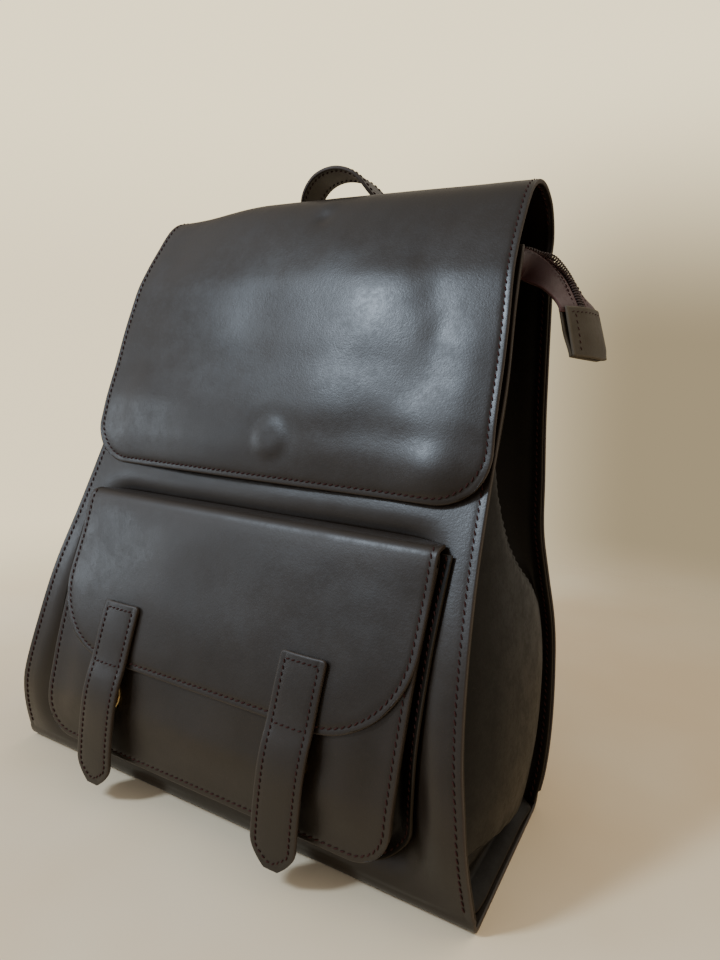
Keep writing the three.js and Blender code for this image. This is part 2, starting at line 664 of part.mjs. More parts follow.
// The loop rises from the feet, turning its face from the back panel up to the sky.
function handleLoop() {
  const near = new THREE.CatmullRomCurve3([[-36, 89.8, FEET_TOP + 1], [-33, 84, 324], [-27, 73, 337],
    [-16, 68.5, 348], [-1, 67.5, 352], [13, 68.5, 348], [22, 73, 337], [31, 84, 324],
    [36, 89.8, FEET_TOP + 1]].map(([x, y, z]) => point(HANDLE_X + x, y, z)));
  const far = new THREE.CatmullRomCurve3([[-18, 89.8, FEET_TOP + 1], [-23, 92, 324], [-24, 90, 334],
    [-14, 87, 344], [0, 85.5, 347.5], [15, 87, 344], [25, 90, 334], [22, 92, 324],
    [18, 89.8, FEET_TOP + 1]].map(([x, y, z]) => point(HANDLE_X + x, y, z)));
  const rows = steps(0, 1, 24).map((t) => [near.getPoint(t), far.getPoint(t)]);
  return sheet(rows, LEATHER);
}
add('handle_loop', handleLoop(), 'leather');

const YOKE = { half: 84, low: 258, high: 292 };

function yoke() {
  const rows = [YOKE.low, 265, 272, 282, YOKE.high].map((z) => steps(-1, 1, 4).map(
    (u) => point(u * YOKE.half, backY(z) + 6.2, z),
  ));
  return sheet(rows, LEATHER - 0.2);
}
add('strap_yoke', yoke(), 'leather');

// Shoulder straps bow out behind the back panel, from the yoke down to the bottom corners.
const strapX = smooth([[8, STRAP_FOOT_X], [60, 93], [130, 84], [200, 72], [250, STRAP_TOP_X + 2],
  [YOKE.high, STRAP_TOP_X]]);
const strapLift = smooth([[8, 2.8], [36, 2.8], [50, 6], [75, 11], [BUCKLE_Z, 17], [140, 25], [175, 24],
  [205, 19], [230, 10], [248, 3.6], [256, 3.2], [290, 3.2]]);
const strapY = (z) => backY(z) + strapLift(z);

function strapPiece(side, heights, offsetAt, halfAt, thickness) {
  const rows = heights.map((z) => [-1, 1].map(
    (u) => point(side * strapX(z) + u * halfAt(z), strapY(z) + offsetAt(z), z),
  ));
  return sheet(rows, thickness);
}

const upperHeights = [BUCKLE_Z + 16.5, 132, 145, 160, 175, 190, 205, 218, 230, 240, 250, 262, 275, 286];
const lowerHeights = [14, 20, 26, 33, 40, 50, 62, 75, 88, BUCKLE_Z - 14, BUCKLE_Z - 9.5, BUCKLE_Z,
  BUCKLE_Z + 9.5, BUCKLE_Z + 14, BUCKLE_Z + 19, 132, 140, 152, 160];
const lowerOffset = smooth([[14, 0], [50, 0], [75, -2], [BUCKLE_Z - 14, -4], [BUCKLE_Z - 9.5, -3.6],
  [BUCKLE_Z + 9.5, 3.7], [BUCKLE_Z + 14, 4.4], [BUCKLE_Z + 22, 4.2], [160, 4]]);
const lowerHalf = (z) => (z > 156 ? 5 : 9.5);

function onStrap(geometry, side, z, offset) {
  const tilt = new THREE.Matrix4();
  const up = point(side * (strapX(z + 5) - strapX(z - 5)), strapY(z + 5) - strapY(z - 5), 10).normalize();
  const across = point(1, 0, 0).addScaledVector(up, -up.x).normalize();
  const out = new THREE.Vector3().crossVectors(across, up).negate();
  tilt.makeBasis(across, up, out.negate());
  return geometry.applyMatrix4(tilt.setPosition(side * strapX(z), strapY(z) + offset, z));
}

for (const [name, side] of [['left', -1], ['right', 1]]) {
  add(`strap_upper_${name}`, strapPiece(side, upperHeights, () => 0, () => STRAP_WIDTH / 2, 3), 'leather');

  const frame = extrude(roundedRectangle(38, 28, 4), 3, roundedRectangle(29, 20, 1.5)).translate(0, 0, -1.5);
  add(`buckle_frame_${name}`, onStrap(frame, side, BUCKLE_Z, 0), 'brass');

  const lower = strapPiece(side, lowerHeights, lowerOffset, lowerHalf, LEATHER);
  const slot = onStrap(new THREE.BoxGeometry(4.6, 15.5, 12), side, BUCKLE_Z, 0);
  add(`strap_lower_${name}`, cut(lower, slot), 'leather');

  const prong = new THREE.BoxGeometry(2.6, 17.6, 1.6);
  add(`buckle_prong_${name}`, onStrap(prong, side, BUCKLE_Z, 0), 'brass');

  const band = extrude(roundedRectangle(36, 14, 2), 9, roundedRectangle(32, 10, 1.2));
  band.translate(0, 0, -4.5).rotateX(Math.PI / 2);
  add(`strap_keeper_${name}`, onStrap(band, side, 136, 2.4), 'leather');

  const anchor = [8, 14, 22, 30, 36].map((z) => [-13, 13].map(
    (dx) => point(side * STRAP_FOOT_X + dx, backY(z) + 6.2, z),
  ));
  add(`strap_anchor_${name}`, sheet(anchor, LEATHER - 0.4), 'leather');
}

export default backpack;
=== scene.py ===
"""Looks of a leather backpack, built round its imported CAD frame. Lengths are in millimetres until a mesh is made."""
import json
import math
import random

import bmesh
import bpy
import numpy as np
from mathutils import Matrix, Vector

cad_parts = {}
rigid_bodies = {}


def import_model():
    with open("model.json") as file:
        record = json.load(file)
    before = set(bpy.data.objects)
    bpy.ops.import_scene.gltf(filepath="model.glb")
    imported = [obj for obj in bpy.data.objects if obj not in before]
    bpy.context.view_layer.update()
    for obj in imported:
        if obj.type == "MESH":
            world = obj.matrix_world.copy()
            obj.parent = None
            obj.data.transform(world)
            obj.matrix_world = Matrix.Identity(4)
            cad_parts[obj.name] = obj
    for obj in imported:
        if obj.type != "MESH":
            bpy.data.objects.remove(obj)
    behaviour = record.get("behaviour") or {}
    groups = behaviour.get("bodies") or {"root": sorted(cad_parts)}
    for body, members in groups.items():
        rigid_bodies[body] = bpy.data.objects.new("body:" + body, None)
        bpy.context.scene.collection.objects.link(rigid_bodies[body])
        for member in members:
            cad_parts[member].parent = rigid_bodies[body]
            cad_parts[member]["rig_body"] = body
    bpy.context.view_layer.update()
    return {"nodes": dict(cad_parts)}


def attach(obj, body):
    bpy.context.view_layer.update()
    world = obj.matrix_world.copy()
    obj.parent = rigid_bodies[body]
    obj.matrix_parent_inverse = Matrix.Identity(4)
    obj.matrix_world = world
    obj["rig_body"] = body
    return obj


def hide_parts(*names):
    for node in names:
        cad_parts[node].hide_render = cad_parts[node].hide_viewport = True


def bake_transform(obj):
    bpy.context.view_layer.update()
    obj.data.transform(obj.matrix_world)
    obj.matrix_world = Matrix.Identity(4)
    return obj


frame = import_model()
MM = 0.001

# ---- Camera ----
def add_camera():
    """Low at the bag's front right, looking slightly down, with a moderately wide lens."""
    turn, tilt, roll = (math.radians(v) for v in (31.08, 9.72, 1.46))
    place = (0.2426, -0.3100, 0.2415)
    back = Vector((math.sin(turn) * math.cos(tilt), -math.cos(turn) * math.cos(tilt), math.sin(tilt)))
    level = Vector((math.cos(turn), math.sin(turn), 0))
    upright = back.cross(level)
    right = math.cos(roll) * level + math.sin(roll) * upright
    up = -math.sin(roll) * level + math.cos(roll) * upright
    data = bpy.data.cameras.new("camera")
    data.sensor_fit = "VERTICAL"
    data.sensor_height = 36
    data.lens = 27.04
    data.clip_start = 0.01
    camera = bpy.data.objects.new("camera", data)
    bpy.context.scene.collection.objects.link(camera)
    camera.matrix_world = Matrix.Translation(place) @ Matrix((right, up, back)).transposed().to_4x4()
    bpy.context.scene.camera = camera


add_camera()

# ---- Curves and small helpers ----
def smooth(knots):
    """A smooth value through (place, value) knots, for a number or an array."""
    x = np.array([k[0] for k in knots], float)
    y = np.array([k[1] for k in knots], float)
    after = np.minimum(np.arange(len(x)) + 1, len(x) - 1)
    before = np.maximum(np.arange(len(x)) - 1, 0)
    slope = (y[after] - y[before]) / (x[after] - x[before])

    def at(place):
        p = np.clip(np.asarray(place, float), x[0], x[-1])
        i = np.clip(np.searchsorted(x, p, side="right") - 1, 0, len(x) - 2)
        width = x[i + 1] - x[i]
        t = (p - x[i]) / width
        keep = (1 + 2 * t) * (1 - t) ** 2
        return (y[i] * keep + t * (1 - t) ** 2 * slope[i] * width
                + y[i + 1] * (1 - keep) + t * t * (t - 1) * slope[i + 1] * width)
    return at


def ease(t):
    c = np.clip(t, 0, 1)
    return c * c * (3 - 2 * c)


def bump(x, centre, width):
    return np.exp(-((x - centre) / width) ** 2)


def unit(v):
    return v / np.maximum(np.linalg.norm(v, axis=-1, keepdims=True), 1e-9)


def line(points):
    """A smooth line through points, by the length along it. Returns the function and the length."""
    pts = np.asarray(points, float)
    steps = np.linalg.norm(np.diff(pts, axis=0), axis=1)
    along = np.concatenate([[0], np.cumsum(steps)])
    curves = [smooth(list(zip(along, pts[:, k]))) for k in range(pts.shape[1])]
    return (lambda s: np.stack([c(s) for c in curves], axis=-1)), along[-1]


def wobble(seed, size):
    """A soft unevenness over two coordinates, about -1 to 1, with features of about that size in mm."""
    pick = random.Random(seed)
    waves = [(pick.uniform(0.6, 1.6), pick.uniform(0, 2 * math.pi), pick.uniform(0, 2 * math.pi)) for _ in range(7)]

    def at(x, y):
        total = 0
        for pace, heading, phase in waves:
            k = 2 * math.pi * pace / size / 2
            total = total + np.sin(k * (x * math.cos(heading) + y * math.sin(heading)) + phase)
        return total / 4
    return at


# ---- Materials ----
class Nodes:
    """A node tree, built by short calls."""

    def __init__(self, tree):
        self.tree = tree

    def add(self, kind, settings=None, **inputs):
        """A node with its settings and inputs. An input is named, or i and its number."""
        node = self.tree.nodes.new("ShaderNode" + kind)
        for key, value in (settings or {}).items():
            setattr(node, key, value)
        for key, value in inputs.items():
            numbered = key[0] == "i" and key[1:].isdigit()
            self.set(node.inputs[int(key[1:]) if numbered else key], value)
        return node

    def set(self, socket, value):
        if isinstance(value, bpy.types.NodeSocket):
            self.tree.links.new(value, socket)
        else:
            socket.default_value = value

    def ramp(self, value, low, high, to_low=0.0, to_high=1.0):
        settings = {"interpolation_type": "SMOOTHSTEP"}
        return self.add("MapRange", settings, i0=value, i1=low, i2=high, i3=to_low, i4=to_high).outputs[0]

    def mix(self, share, a, b):
        return self.add("Mix", {"data_type": "RGBA"}, i0=share, i6=a, i7=b).outputs[2]

    def plus(self, a, b):
        return self.add("Math", {"operation": "ADD"}, i0=a, i1=b).outputs[0]

    def times(self, a, b):
        return self.add("Math", {"operation": "MULTIPLY"}, i0=a, i1=b).outputs[0]


class Shader(Nodes):
    """A material with one Principled surface."""

    def __init__(self, name, **fixed):
        self.material = bpy.data.materials.new(name)
        self.material.use_nodes = True
        super().__init__(self.material.node_tree)
        self.surface = self.tree.nodes["Principled BSDF"]
        for key, value in fixed.items():
            self.surface.inputs[key.replace("_", " ")].default_value = value
        self.place = self.add("TexCoord").outputs["Object"]

    def noise(self, scale, detail=3.0, rough=0.5):
        return self.add("TexNoise", Vector=self.place, Scale=scale, Detail=detail, Roughness=rough).outputs["Fac"]

    def relief(self, height, distance, strength=1.0, normal=None):
        below = {} if normal is None else {"Normal": normal}
        return self.add("Bump", Height=height, Distance=distance, Strength=strength, **below).outputs["Normal"]

    def finish(self, color, roughness, normal):
        for socket, value in (("Base Color", color), ("Roughness", roughness), ("Normal", normal)):
            if value is not None:
                self.set(self.surface.inputs[socket], value)
        return self.material


def leather_material(name, dark, light, edge, smooth_at, dull_at, gloss=0.42):
    """Waxed leather: mottled colour, fine pores, soft scuffs, and a paler cut edge."""
    s = Shader(name, Specular_IOR_Level=gloss)
    cloudy = s.ramp(s.noise(14, 4, 0.55), 0.3, 0.72)
    streaky = s.ramp(s.noise(55, 5, 0.6), 0.3, 0.75)
    body = s.mix(cloudy, dark, light)
    body = s.mix(s.times(streaky, 0.35), body, light)
    specks = s.ramp(s.noise(900, 2, 0.7), 0.62, 0.78)
    body = s.mix(s.times(specks, 0.35), body, edge)
    border = s.add("Attribute", {"attribute_name": "rim"}).outputs["Fac"]
    rim = s.ramp(border, 0.55, 1.0)
    worn = s.times(s.ramp(border, 0.0, 0.45), s.ramp(s.noise(40, 4, 0.6), 0.2, 0.7, 0.55, 1.0))
    body = s.mix(s.times(worn, 0.55), body, tuple(1.8 * v for v in light[:3]) + (1,))
    fibres = s.ramp(s.noise(1500, 3, 0.7), 0.25, 0.75, 0.55, 1.0)
    body = s.mix(s.times(rim, fibres), body, edge)
    scuffs = s.noise(85, 5, 0.62)
    flecks = s.ramp(s.noise(420, 3, 0.6), 0.35, 0.75)
    uneven = s.plus(s.times(scuffs, 0.75), s.times(flecks, 0.15))
    roughness = s.ramp(uneven, 0.25, 0.65, smooth_at, dull_at)
    roughness = s.plus(roughness, s.times(worn, 0.12))
    roughness = s.plus(roughness, s.times(rim, 0.2))
    pores = s.add("TexVoronoi", {"feature": "SMOOTH_F1"}, Vector=s.place, Scale=1150).outputs["Distance"]
    normal = s.relief(scuffs, 0.00035, 0.25)
    normal = s.relief(s.noise(420, 4, 0.65), 0.00010, 0.2, normal)
    normal = s.relief(pores, 0.00005, 0.5, normal)
    normal = s.relief(s.noise(2600, 3, 0.6), 0.00004, 0.5, normal)
    return s.finish(body, roughness, normal)


LEATHER_LOOK = leather_material("waxed_leather", (0.0095, 0.0064, 0.0042, 1), (0.0160, 0.0112, 0.0076, 1),
                                (0.050, 0.034, 0.024, 1), 0.31, 0.41)
BURGUNDY_LOOK = leather_material("burgundy_leather", (0.036, 0.0135, 0.0135, 1), (0.064, 0.0225, 0.0225, 1),
                                 (0.10, 0.05, 0.043, 1), 0.45, 0.62)
# A darker, duller copy of the body leather: painted shade on the side gussets and on the pocket's side wall.
SHADED_GUSSET_LOOK = leather_material("gusset_leather_painted_shade", (0.0046, 0.0034, 0.0022, 1), (0.0082, 0.0062, 0.0041, 1),
                               (0.042, 0.031, 0.020, 1), 0.45, 0.58, gloss=0.15)
OLIVE_LOOK = leather_material("olive_leather", (0.045, 0.035, 0.022, 1), (0.075, 0.060, 0.039, 1),
                              (0.10, 0.08, 0.055, 1), 0.5, 0.7)


def fabric_material(name, color, shade, scale, depth):
    """Woven tape or twisted thread: a fine cross weave."""
    s = Shader(name, Specular_IOR_Level=0.2)
    warp, weft = (s.add("TexWave", {"bands_direction": way}, Vector=s.place, Scale=scale * size,
                        Distortion=0.6).outputs["Fac"] for way, size in (("X", 1), ("DIAGONAL", 0.9)))
    weave = s.times(warp, weft)
    body = s.mix(s.ramp(weave, 0.05, 0.8), shade, color)
    return s.finish(body, s.ramp(s.noise(300, 3), 0.2, 0.8, 0.72, 0.88), s.relief(weave, depth, 0.6))


THREAD_LOOK = fabric_material("waxed_thread", (0.062, 0.018, 0.015, 1), (0.026, 0.008, 0.007, 1), 900, 0.0001)
TAPE_LOOK = fabric_material("zip_tape", (0.030, 0.018, 0.016, 1), (0.012, 0.008, 0.008, 1), 520, 0.0002)


def metal_material(name, color, tarnish, low, high):
    """Plated metal with soft wear and tarnish."""
    s = Shader(name, Metallic=1.0)
    worn = s.ramp(s.noise(160, 5, 0.6), 0.35, 0.7)
    hair = s.noise(1400, 2, 0.5)
    body = s.mix(worn, color, tarnish)
    return s.finish(body, s.ramp(worn, 0, 1, low, high), s.relief(hair, 0.00003, 0.4))


BRASS_LOOK = metal_material("antique_brass", (0.62, 0.45, 0.20, 1), (0.33, 0.22, 0.10, 1), 0.22, 0.42)
STEEL_LOOK = metal_material("plain_steel", (0.52, 0.52, 0.51, 1), (0.30, 0.29, 0.28, 1), 0.28, 0.45)


def nylon_material():
    s = Shader("zip_nylon", Specular_IOR_Level=0.5)
    worn = s.ramp(s.noise(700, 3, 0.6), 0.3, 0.75)
    body = s.mix(worn, (0.030, 0.016, 0.014, 1), (0.075, 0.040, 0.034, 1))
    return s.finish(body, s.ramp(worn, 0, 1, 0.55, 0.7), s.relief(s.noise(2500, 2), 0.00004, 0.5))


NYLON_LOOK = nylon_material()

# ---- Meshes ----
def make(name, parts, look, body, slot, nodes=(), bend=None):
    """One object from (points, faces, rim) parts. It rides on a body, or, given a bend (a, b, start, end), stays
    unattached with its transform baked in.
    """
    points, faces, rim = [], [], []
    for part_points, part_faces, part_rim in parts:
        base = sum(len(p) for p in points)
        points.append(np.asarray(part_points, float))
        rim.append(np.asarray(part_rim, float))
        faces += [[base + int(i) for i in face] for face in part_faces]
    data = bpy.data.meshes.new(name)
    data.from_pydata((np.concatenate(points) * MM).tolist(), [], faces)
    data.attributes.new("rim", "FLOAT", "POINT").data.foreach_set("value", np.concatenate(rim).astype(np.float32))
    smoothed(data, look)
    data.validate()
    shell = bmesh.new()
    shell.from_mesh(data)
    bmesh.ops.recalc_face_normals(shell, faces=shell.faces)
    shell.to_mesh(data)
    shell.free()
    data.update()
    thing = added(name, data)
    if bend:
        a, b, start, end = bend
        tuple(v * MM for v in start)
        tuple(v * MM for v in end)
        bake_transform(thing)
    else:
        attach(thing, body)
    if nodes:
        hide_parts(*nodes)


def leather(name, sheet, nodes, body="bag", bend=None, look=LEATHER_LOOK):
    make(name, [sheet], look, body, "leather", nodes, bend)


def sewn(name, lines, body="bag", bend=None):
    """Thread, which rides on a body, or stays unattached when given a bend, as its leather does."""
    make(name, lines, THREAD_LOOK, body, "zip_tape", (), bend)


def xyz(x, y, z):
    """Places from three coordinates, which may differ in shape."""
    return np.stack(np.broadcast_arrays(x, y, z), axis=-1)


def smoothed(data, look):
    """A mesh with smooth shading and one look."""
    data.polygons.foreach_set("use_smooth", np.ones(len(data.polygons), bool))
    data.materials.clear()
    data.materials.append(look)


def added(name, data):
    thing = bpy.data.objects.new(name, data)
    bpy.context.scene.collection.objects.link(thing)
    return thing


def normals_of(grid):
    return unit(np.cross(np.gradient(grid, axis=1), np.gradient(grid, axis=0)))


def skin(grid, thickness):
    """A closed sheet round a grid of middle points, with softly rounded cut edges. Returns points, faces and rim."""
    grid = np.array(grid, float)
    rows, cols = grid.shape[:2]
    normal = normals_of(grid)
    half = thickness / 2
    soft = thickness * 0.27
    loop = ([(0, c) for c in range(cols)] + [(r, cols - 1) for r in range(1, rows)]
            + [(rows - 1, c) for c in range(cols - 2, -1, -1)] + [(r, 0) for r in range(rows - 2, 0, -1)])
    lr, lc = np.array(loop).T
    edge, edge_normal = grid[lr, lc], normal[lr, lc]
    inner = grid[np.clip(lr, 1, rows - 2), np.clip(lc, 1, cols - 2)]
    tangent = unit(np.roll(edge, -1, axis=0) - np.roll(edge, 1, axis=0))
    outward = unit(np.cross(tangent, edge_normal))
    outward *= np.sign(np.sum(outward * (edge - inner), axis=1, keepdims=True) + 1e-12)
    inset = np.minimum(soft, 0.6 * np.linalg.norm(edge - inner, axis=1))[:, None]
    surface = grid.copy()
    surface[lr, lc] = edge - outward * inset
    points = [(surface + normal * half).reshape(-1, 3), (surface - normal * half).reshape(-1, 3)]
    chamfer = half - 0.29 * soft
    for away, height in ((-0.29, chamfer), (0.0, half - soft), (0.0, soft - half), (-0.29, -chamfer)):
        points.append(edge + outward * inset * away + edge_normal * height)
    count, n = rows * cols, len(loop)
    r, c = np.meshgrid(np.arange(rows - 1), np.arange(cols - 1), indexing="ij")
    a = (r * cols + c).ravel()
    quads = np.stack([a, a + cols, a + cols + 1, a + 1], axis=1)
    faces = [quads, quads[:, ::-1] + count]
    top_loop = lr * cols + lc
    chain = [top_loop] + [2 * count + k * n + np.arange(n) for k in range(4)] + [top_loop + count]
    for here, there in zip(chain[:-1], chain[1:]):
        faces.append(np.stack([here, np.roll(here, -1), np.roll(there, -1), there], axis=1))
    rim = np.ones(2 * count + 4 * n)
    rim[:2 * count] = 0
    rim[top_loop] = rim[top_loop + count] = 0.5
    return np.concatenate(points), np.concatenate(faces).tolist(), rim


def rounded(x, s, half, length, radius, top_radius=0.0):
    """Moves the points of a square-cut pattern so that its corners at s = 0, and at s = length, are round."""
    for low, r in ((True, radius), (False, top_radius)):
        if r <= 0:
            continue
        p = np.clip((r - half + np.abs(x)) / r, 0, 1)
        q = np.clip((r - (s if low else length - s)) / r, 0, 1)
        inside = (p > 0) & (q > 0)
        new_side = r - r * p * np.sqrt(1 - q * q / 2)
        new_end = r - r * q * np.sqrt(1 - p * p / 2)
        x = np.where(inside, np.sign(x) * (half - new_side), x)
        s = np.where(inside, new_end if low else length - new_end, s)
    return x, s


def pattern(rows, across, half, *corners):
    """Places (x, s) of a flat pattern: shares of its half width at each row, with round corners if they are given."""
    half = np.broadcast_to(half, rows.shape)[:, None] + 0 * across
    x = across * half
    s = rows[:, None] + 0 * x
    return rounded(x, s, half, *corners) if corners else (x, s)


def edge_distance(x, s, half, radius):
    """How far a place on a pattern is from its sides and its lower edge with round corners."""
    side = half - np.abs(x)
    p, q = radius - side, radius - s
    corner = radius - np.hypot(np.maximum(p, 0), np.maximum(q, 0))
    return np.where((p > 0) & (q > 0), corner, np.minimum(side, s))


NEAR = [0, 1.0, 1.8, 2.5, 3.1, 3.7, 4.4, 5.4, 7.0, 9.2, 12.2]


def spread(length, spacing, near=NEAR, both=True):
    """Places along a length, close together near its ends where the sewn border is."""
    first = [v for v in near if v < length / 2.05]
    last = [length - v for v in reversed(first)] if both else [length]
    gap = last[0] - first[-1]
    count = max(int(round(gap / spacing)), 1)
    middle = np.linspace(first[-1], last[0], count + 1)[1:-1].tolist()
    return np.array(first + middle + last)


def stitches(place, route, side, lift, *form):
    """Thread showing on a surface: a small arched stitch at each pitch along a route of pattern places."""
    route = np.asarray(route, float)
    fine = [route[0]]
    for a, b in zip(route[:-1], route[1:]):
        count = max(int(np.linalg.norm(b - a)), 1)
        fine += [a + (b - a) * (i + 1) / count for i in range(count)]
    x, s = np.array(fine).T
    step = 0.2
    across = place(x + step, s) - place(x - step, s)
    up = place(x, s + step) - place(x, s - step)
    normal = unit(np.cross(across, up)) * side
    return thread(place(x, s) + normal * lift, normal, *form)


def seams(place, routes, thickness, sides=(1,), above=0.1, form=()):
    """Stitches along routes of a pattern, on face 1 or -1 of the leather or on both. Form is pitch and length."""
    return [stitches(place, route, side, thickness / 2 + above, *form) for route in routes for side in sides]


def thread(world, normal, pitch=3.5, length=2.75, radius=0.40):
    """Stitches along a line of places, each slanted a little to the line."""
    along = np.concatenate([[0], np.cumsum(np.linalg.norm(np.diff(world, axis=0), axis=1))])
    count = int(along[-1] / pitch)
    middles = (np.arange(count) + 0.5) * along[-1] / count

    def at(values, where):
        return np.stack([np.interp(where, along, values[:, k]) for k in range(3)], axis=-1)
    up = unit(at(normal, middles))
    ahead = at(world, middles + 0.8) - at(world, middles - 0.8)
    ahead = unit(ahead - up * np.sum(ahead * up, axis=1, keepdims=True))
    beside = np.cross(up, ahead)
    c, s = math.cos(math.radians(20)), math.sin(math.radians(20))
    return capsules(at(world, middles), ahead * c + beside * s, beside * c - ahead * s, up, length, radius, 0.24)


def capsules(centre, ahead, beside, up, length, radius, arch, sides=6):
    """Small rounded bars, each arched over its middle so that its ends sink in."""
    shape, faces = [], []
    for t, swell in ((-0.42, 0.72), (-0.15, 1.0), (0.15, 1.0), (0.42, 0.72)):
        height = arch * (1 - (2 * t) ** 2) - arch * 0.35
        for k in range(sides):
            a = 2 * math.pi * k / sides
            shape.append((t * length, math.cos(a) * radius * swell, math.sin(a) * radius * swell + height))
    first, last = len(shape), len(shape) + 1
    shape += [(-0.5 * length, 0, -arch * 0.9), (0.5 * length, 0, -arch * 0.9)]
    for k in range(sides):
        following = (k + 1) % sides
        for ring in (0, sides, 2 * sides):
            faces.append((ring + k, ring + following, ring + following + sides, ring + k + sides))
        faces += [(following, k, first), (3 * sides + k, 3 * sides + following, last)]
    shape = np.array(shape)
    axes = enumerate((ahead, beside, up))
    points = centre[:, None] + sum(shape[None, :, k:k + 1] * axis[:, None] for k, axis in axes)
    each = len(shape)
    all_faces = [[i * each + v for v in f] for i in range(len(centre)) for f in faces]
    return points.reshape(-1, 3), all_faces, np.zeros(len(centre) * each)


def arc_route(half, top, radius):
    """The sewn line of a pattern: down one side, round both lower corners, up the other side."""
    route = [(-(half(s) - BORDER_SEAM), s) for s in np.linspace(top, radius, 24)]
    for t in np.radians(np.linspace(0, 90, 14)[1:]):
        turn = radius - BORDER_SEAM
        route.append((-(half(radius) - radius + turn * math.cos(t)), radius - turn * math.sin(t)))
    return route + [(-x, s) for x, s in reversed(route)]


def outward(at, s):
    """Which way (y, z) a sheet faces at a length along its line."""
    ahead = at(s + 0.5) - at(s - 0.5)
    return unit(np.stack([-ahead[..., 1], ahead[..., 0]], axis=-1))


def lathe(profile, centre, axis, sides=48):
    """A turned piece from (radius, height) pairs, at a centre and along an axis."""
    axis = Vector(axis).normalized()
    a = axis.orthogonal().normalized()
    b = axis.cross(a)
    turns = [2 * math.pi * k / sides for k in range(sides)]
    points = [Vector(centre) + axis * height + a * (radius * math.cos(t)) + b * (radius * math.sin(t))
              for radius, height in profile for t in turns]
    faces = [(ring + k, ring + (k + 1) % sides, ring + (k + 1) % sides + sides, ring + k + sides)
             for ring in range(0, len(points) - sides, sides) for k in range(sides)]
    faces += [tuple(range(sides))[::-1], tuple(range(len(points) - sides, len(points)))]
    return np.array(points), faces, np.zeros(len(points))


# ---- The shape of the bag, as in its CAD part ----
LEATHER, THIN = 2.2, 1.4  # thicknesses of the body leather and of the zip facings
FLANGE = 9.5  # width of the gusset's sewn flange
BODY_SEAM, BORDER_SEAM = 3.8, 3.1  # how far stitches run from an edge of the body, and of a flap or pocket
BODY_TOP = 296
frontY = smooth([(0, -51.2), (20, -56), (33, -58), (47, -58), (78, -51.5), (112, -40.5), (148, -24), (185, -6.5),
                 (225, 12), (268, 25), (296, 37)])
backY = smooth([(0, 51.2), (20, 57), (47, 65), (78, 80), (98, 83), (125, 76), (150, 71.5), (178, 73.5), (210, 75),
                (242, 77), (272, 81.5), (296, 85)])
frontHalf = smooth([(0, 150), (20, 148.5), (47, 145.3), (78, 139.8), (112, 135.5), (148, 131.2), (185, 128.5),
                    (225, 126.5), (268, 124), (296, 122)])
backHalf = smooth([(0, 143), (20, 145.5), (47, 145), (78, 140), (98, 137), (125, 134), (150, 131), (178, 129),
                   (210, 127), (242, 125.6), (272, 123.7), (296, 122)])


def hollow(x, z):
    across = ease((frontHalf(z) - 12 - np.abs(x)) / 26)
    return 14 * across * ease((z - 8) / 26) * ease((169 - z) / 28)


def panelY(x, z):
    return frontY(z) + hollow(x, z)


uneven_wide = wobble(3, 95)
uneven_close = wobble(8, 38)


def body_wrap():
    """Front, base and back in one piece of leather, folded under at the foot."""
    heights = np.linspace(BODY_TOP, 8, 40)
    foot = [(-52.7, 5.4), (-51.6, 3.0), (-49.2, 1.5), (-45.5, 1.1)]
    under = [(y, 1.1) for y in (-30, -15, 0, 15, 30)]
    heel = [(-y, z) for y, z in reversed(foot)]
    at, total = line([(frontY(z), z) for z in heights] + foot + under + heel + [(backY(z), z) for z in heights[::-1]])
    ends = [np.argmin([abs(at(s)[1] - 8) + (0 if at(s)[0] * side > 0 else 99) for s in np.linspace(0, total, 3000)])
            * total / 2999 for side in (-1, 1)]

    def half(s):
        y, z = at(s)[..., 0], at(s)[..., 1]
        flat = 150 - 7 * np.clip((y + 51.2) / 102.4, 0, 1)
        side = np.where(y < 0, frontHalf(z), backHalf(z))
        return np.where((s > ends[0]) & (s < ends[1]), flat, side)

    def place(x, s):
        y, z = at(s)[..., 0], at(s)[..., 1]
        side = half(s) - np.abs(x)
        sewn_in = 0.22 * bump(side, BODY_SEAM, 1.0)
        inside = ease((side - 8) / 30)
        front = hollow(x, z) + inside * (uneven_wide(x, z) + 0.5 * uneven_close(x, z)) + sewn_in
        back = -1.6 * inside * uneven_wide(x + 40, z) - sewn_in
        return xyz(x, y + np.where(s < ends[0], front, 0) + np.where(s > ends[1], back, 0), z)

    rows = np.concatenate([np.linspace(0, ends[0] - 2, 68), np.linspace(ends[0] - 1, ends[0] + 12, 12),
                           np.linspace(ends[0] + 16, ends[1] - 16, 10), np.linspace(ends[1] - 12, ends[1] + 1, 12),
                           np.linspace(ends[1] + 5, total, 66)])
    grid = place(*pattern(rows, spread(290, 5.2) / 145 - 1, half(rows)))
    leather("body_wrap", skin(grid, LEATHER), ["front_panel", "base_panel", "back_panel"])
    routes = [[(sign * (half(v) - BODY_SEAM), v) for v in np.linspace(low, high, 60)]
              for low, high in ((3, ends[0] - 4), (ends[1] + 4, total - 3)) for sign in (-1, 1)]
    routes.append([(x, total - 4.2) for x in np.linspace(-116, 116, 40)])
    sewn("body_wrap_stitches", seams(place, routes, LEATHER, (-1,), 0.12))


body_wrap()


# Side gussets: sewn edges, folded in at the top and full at the bottom.
gussetBelly = smooth([(0, 3), (25, 6), (50, 10), (80, 12.5), (110, 11.5), (140, 8.5), (175, 6), (215, 3), (255, 0)])
gussetDepth = smooth([(110, 0), (125, 6), (140, 17), (160, 27), (185, 34), (215, 38), (255, 43), (290, 46)])
gussetRidge = smooth([(110, 0.88), (125, 0.76), (140, 0.58), (160, 0.38), (185, 0.22), (215, 0.12), (255, 0.08)])


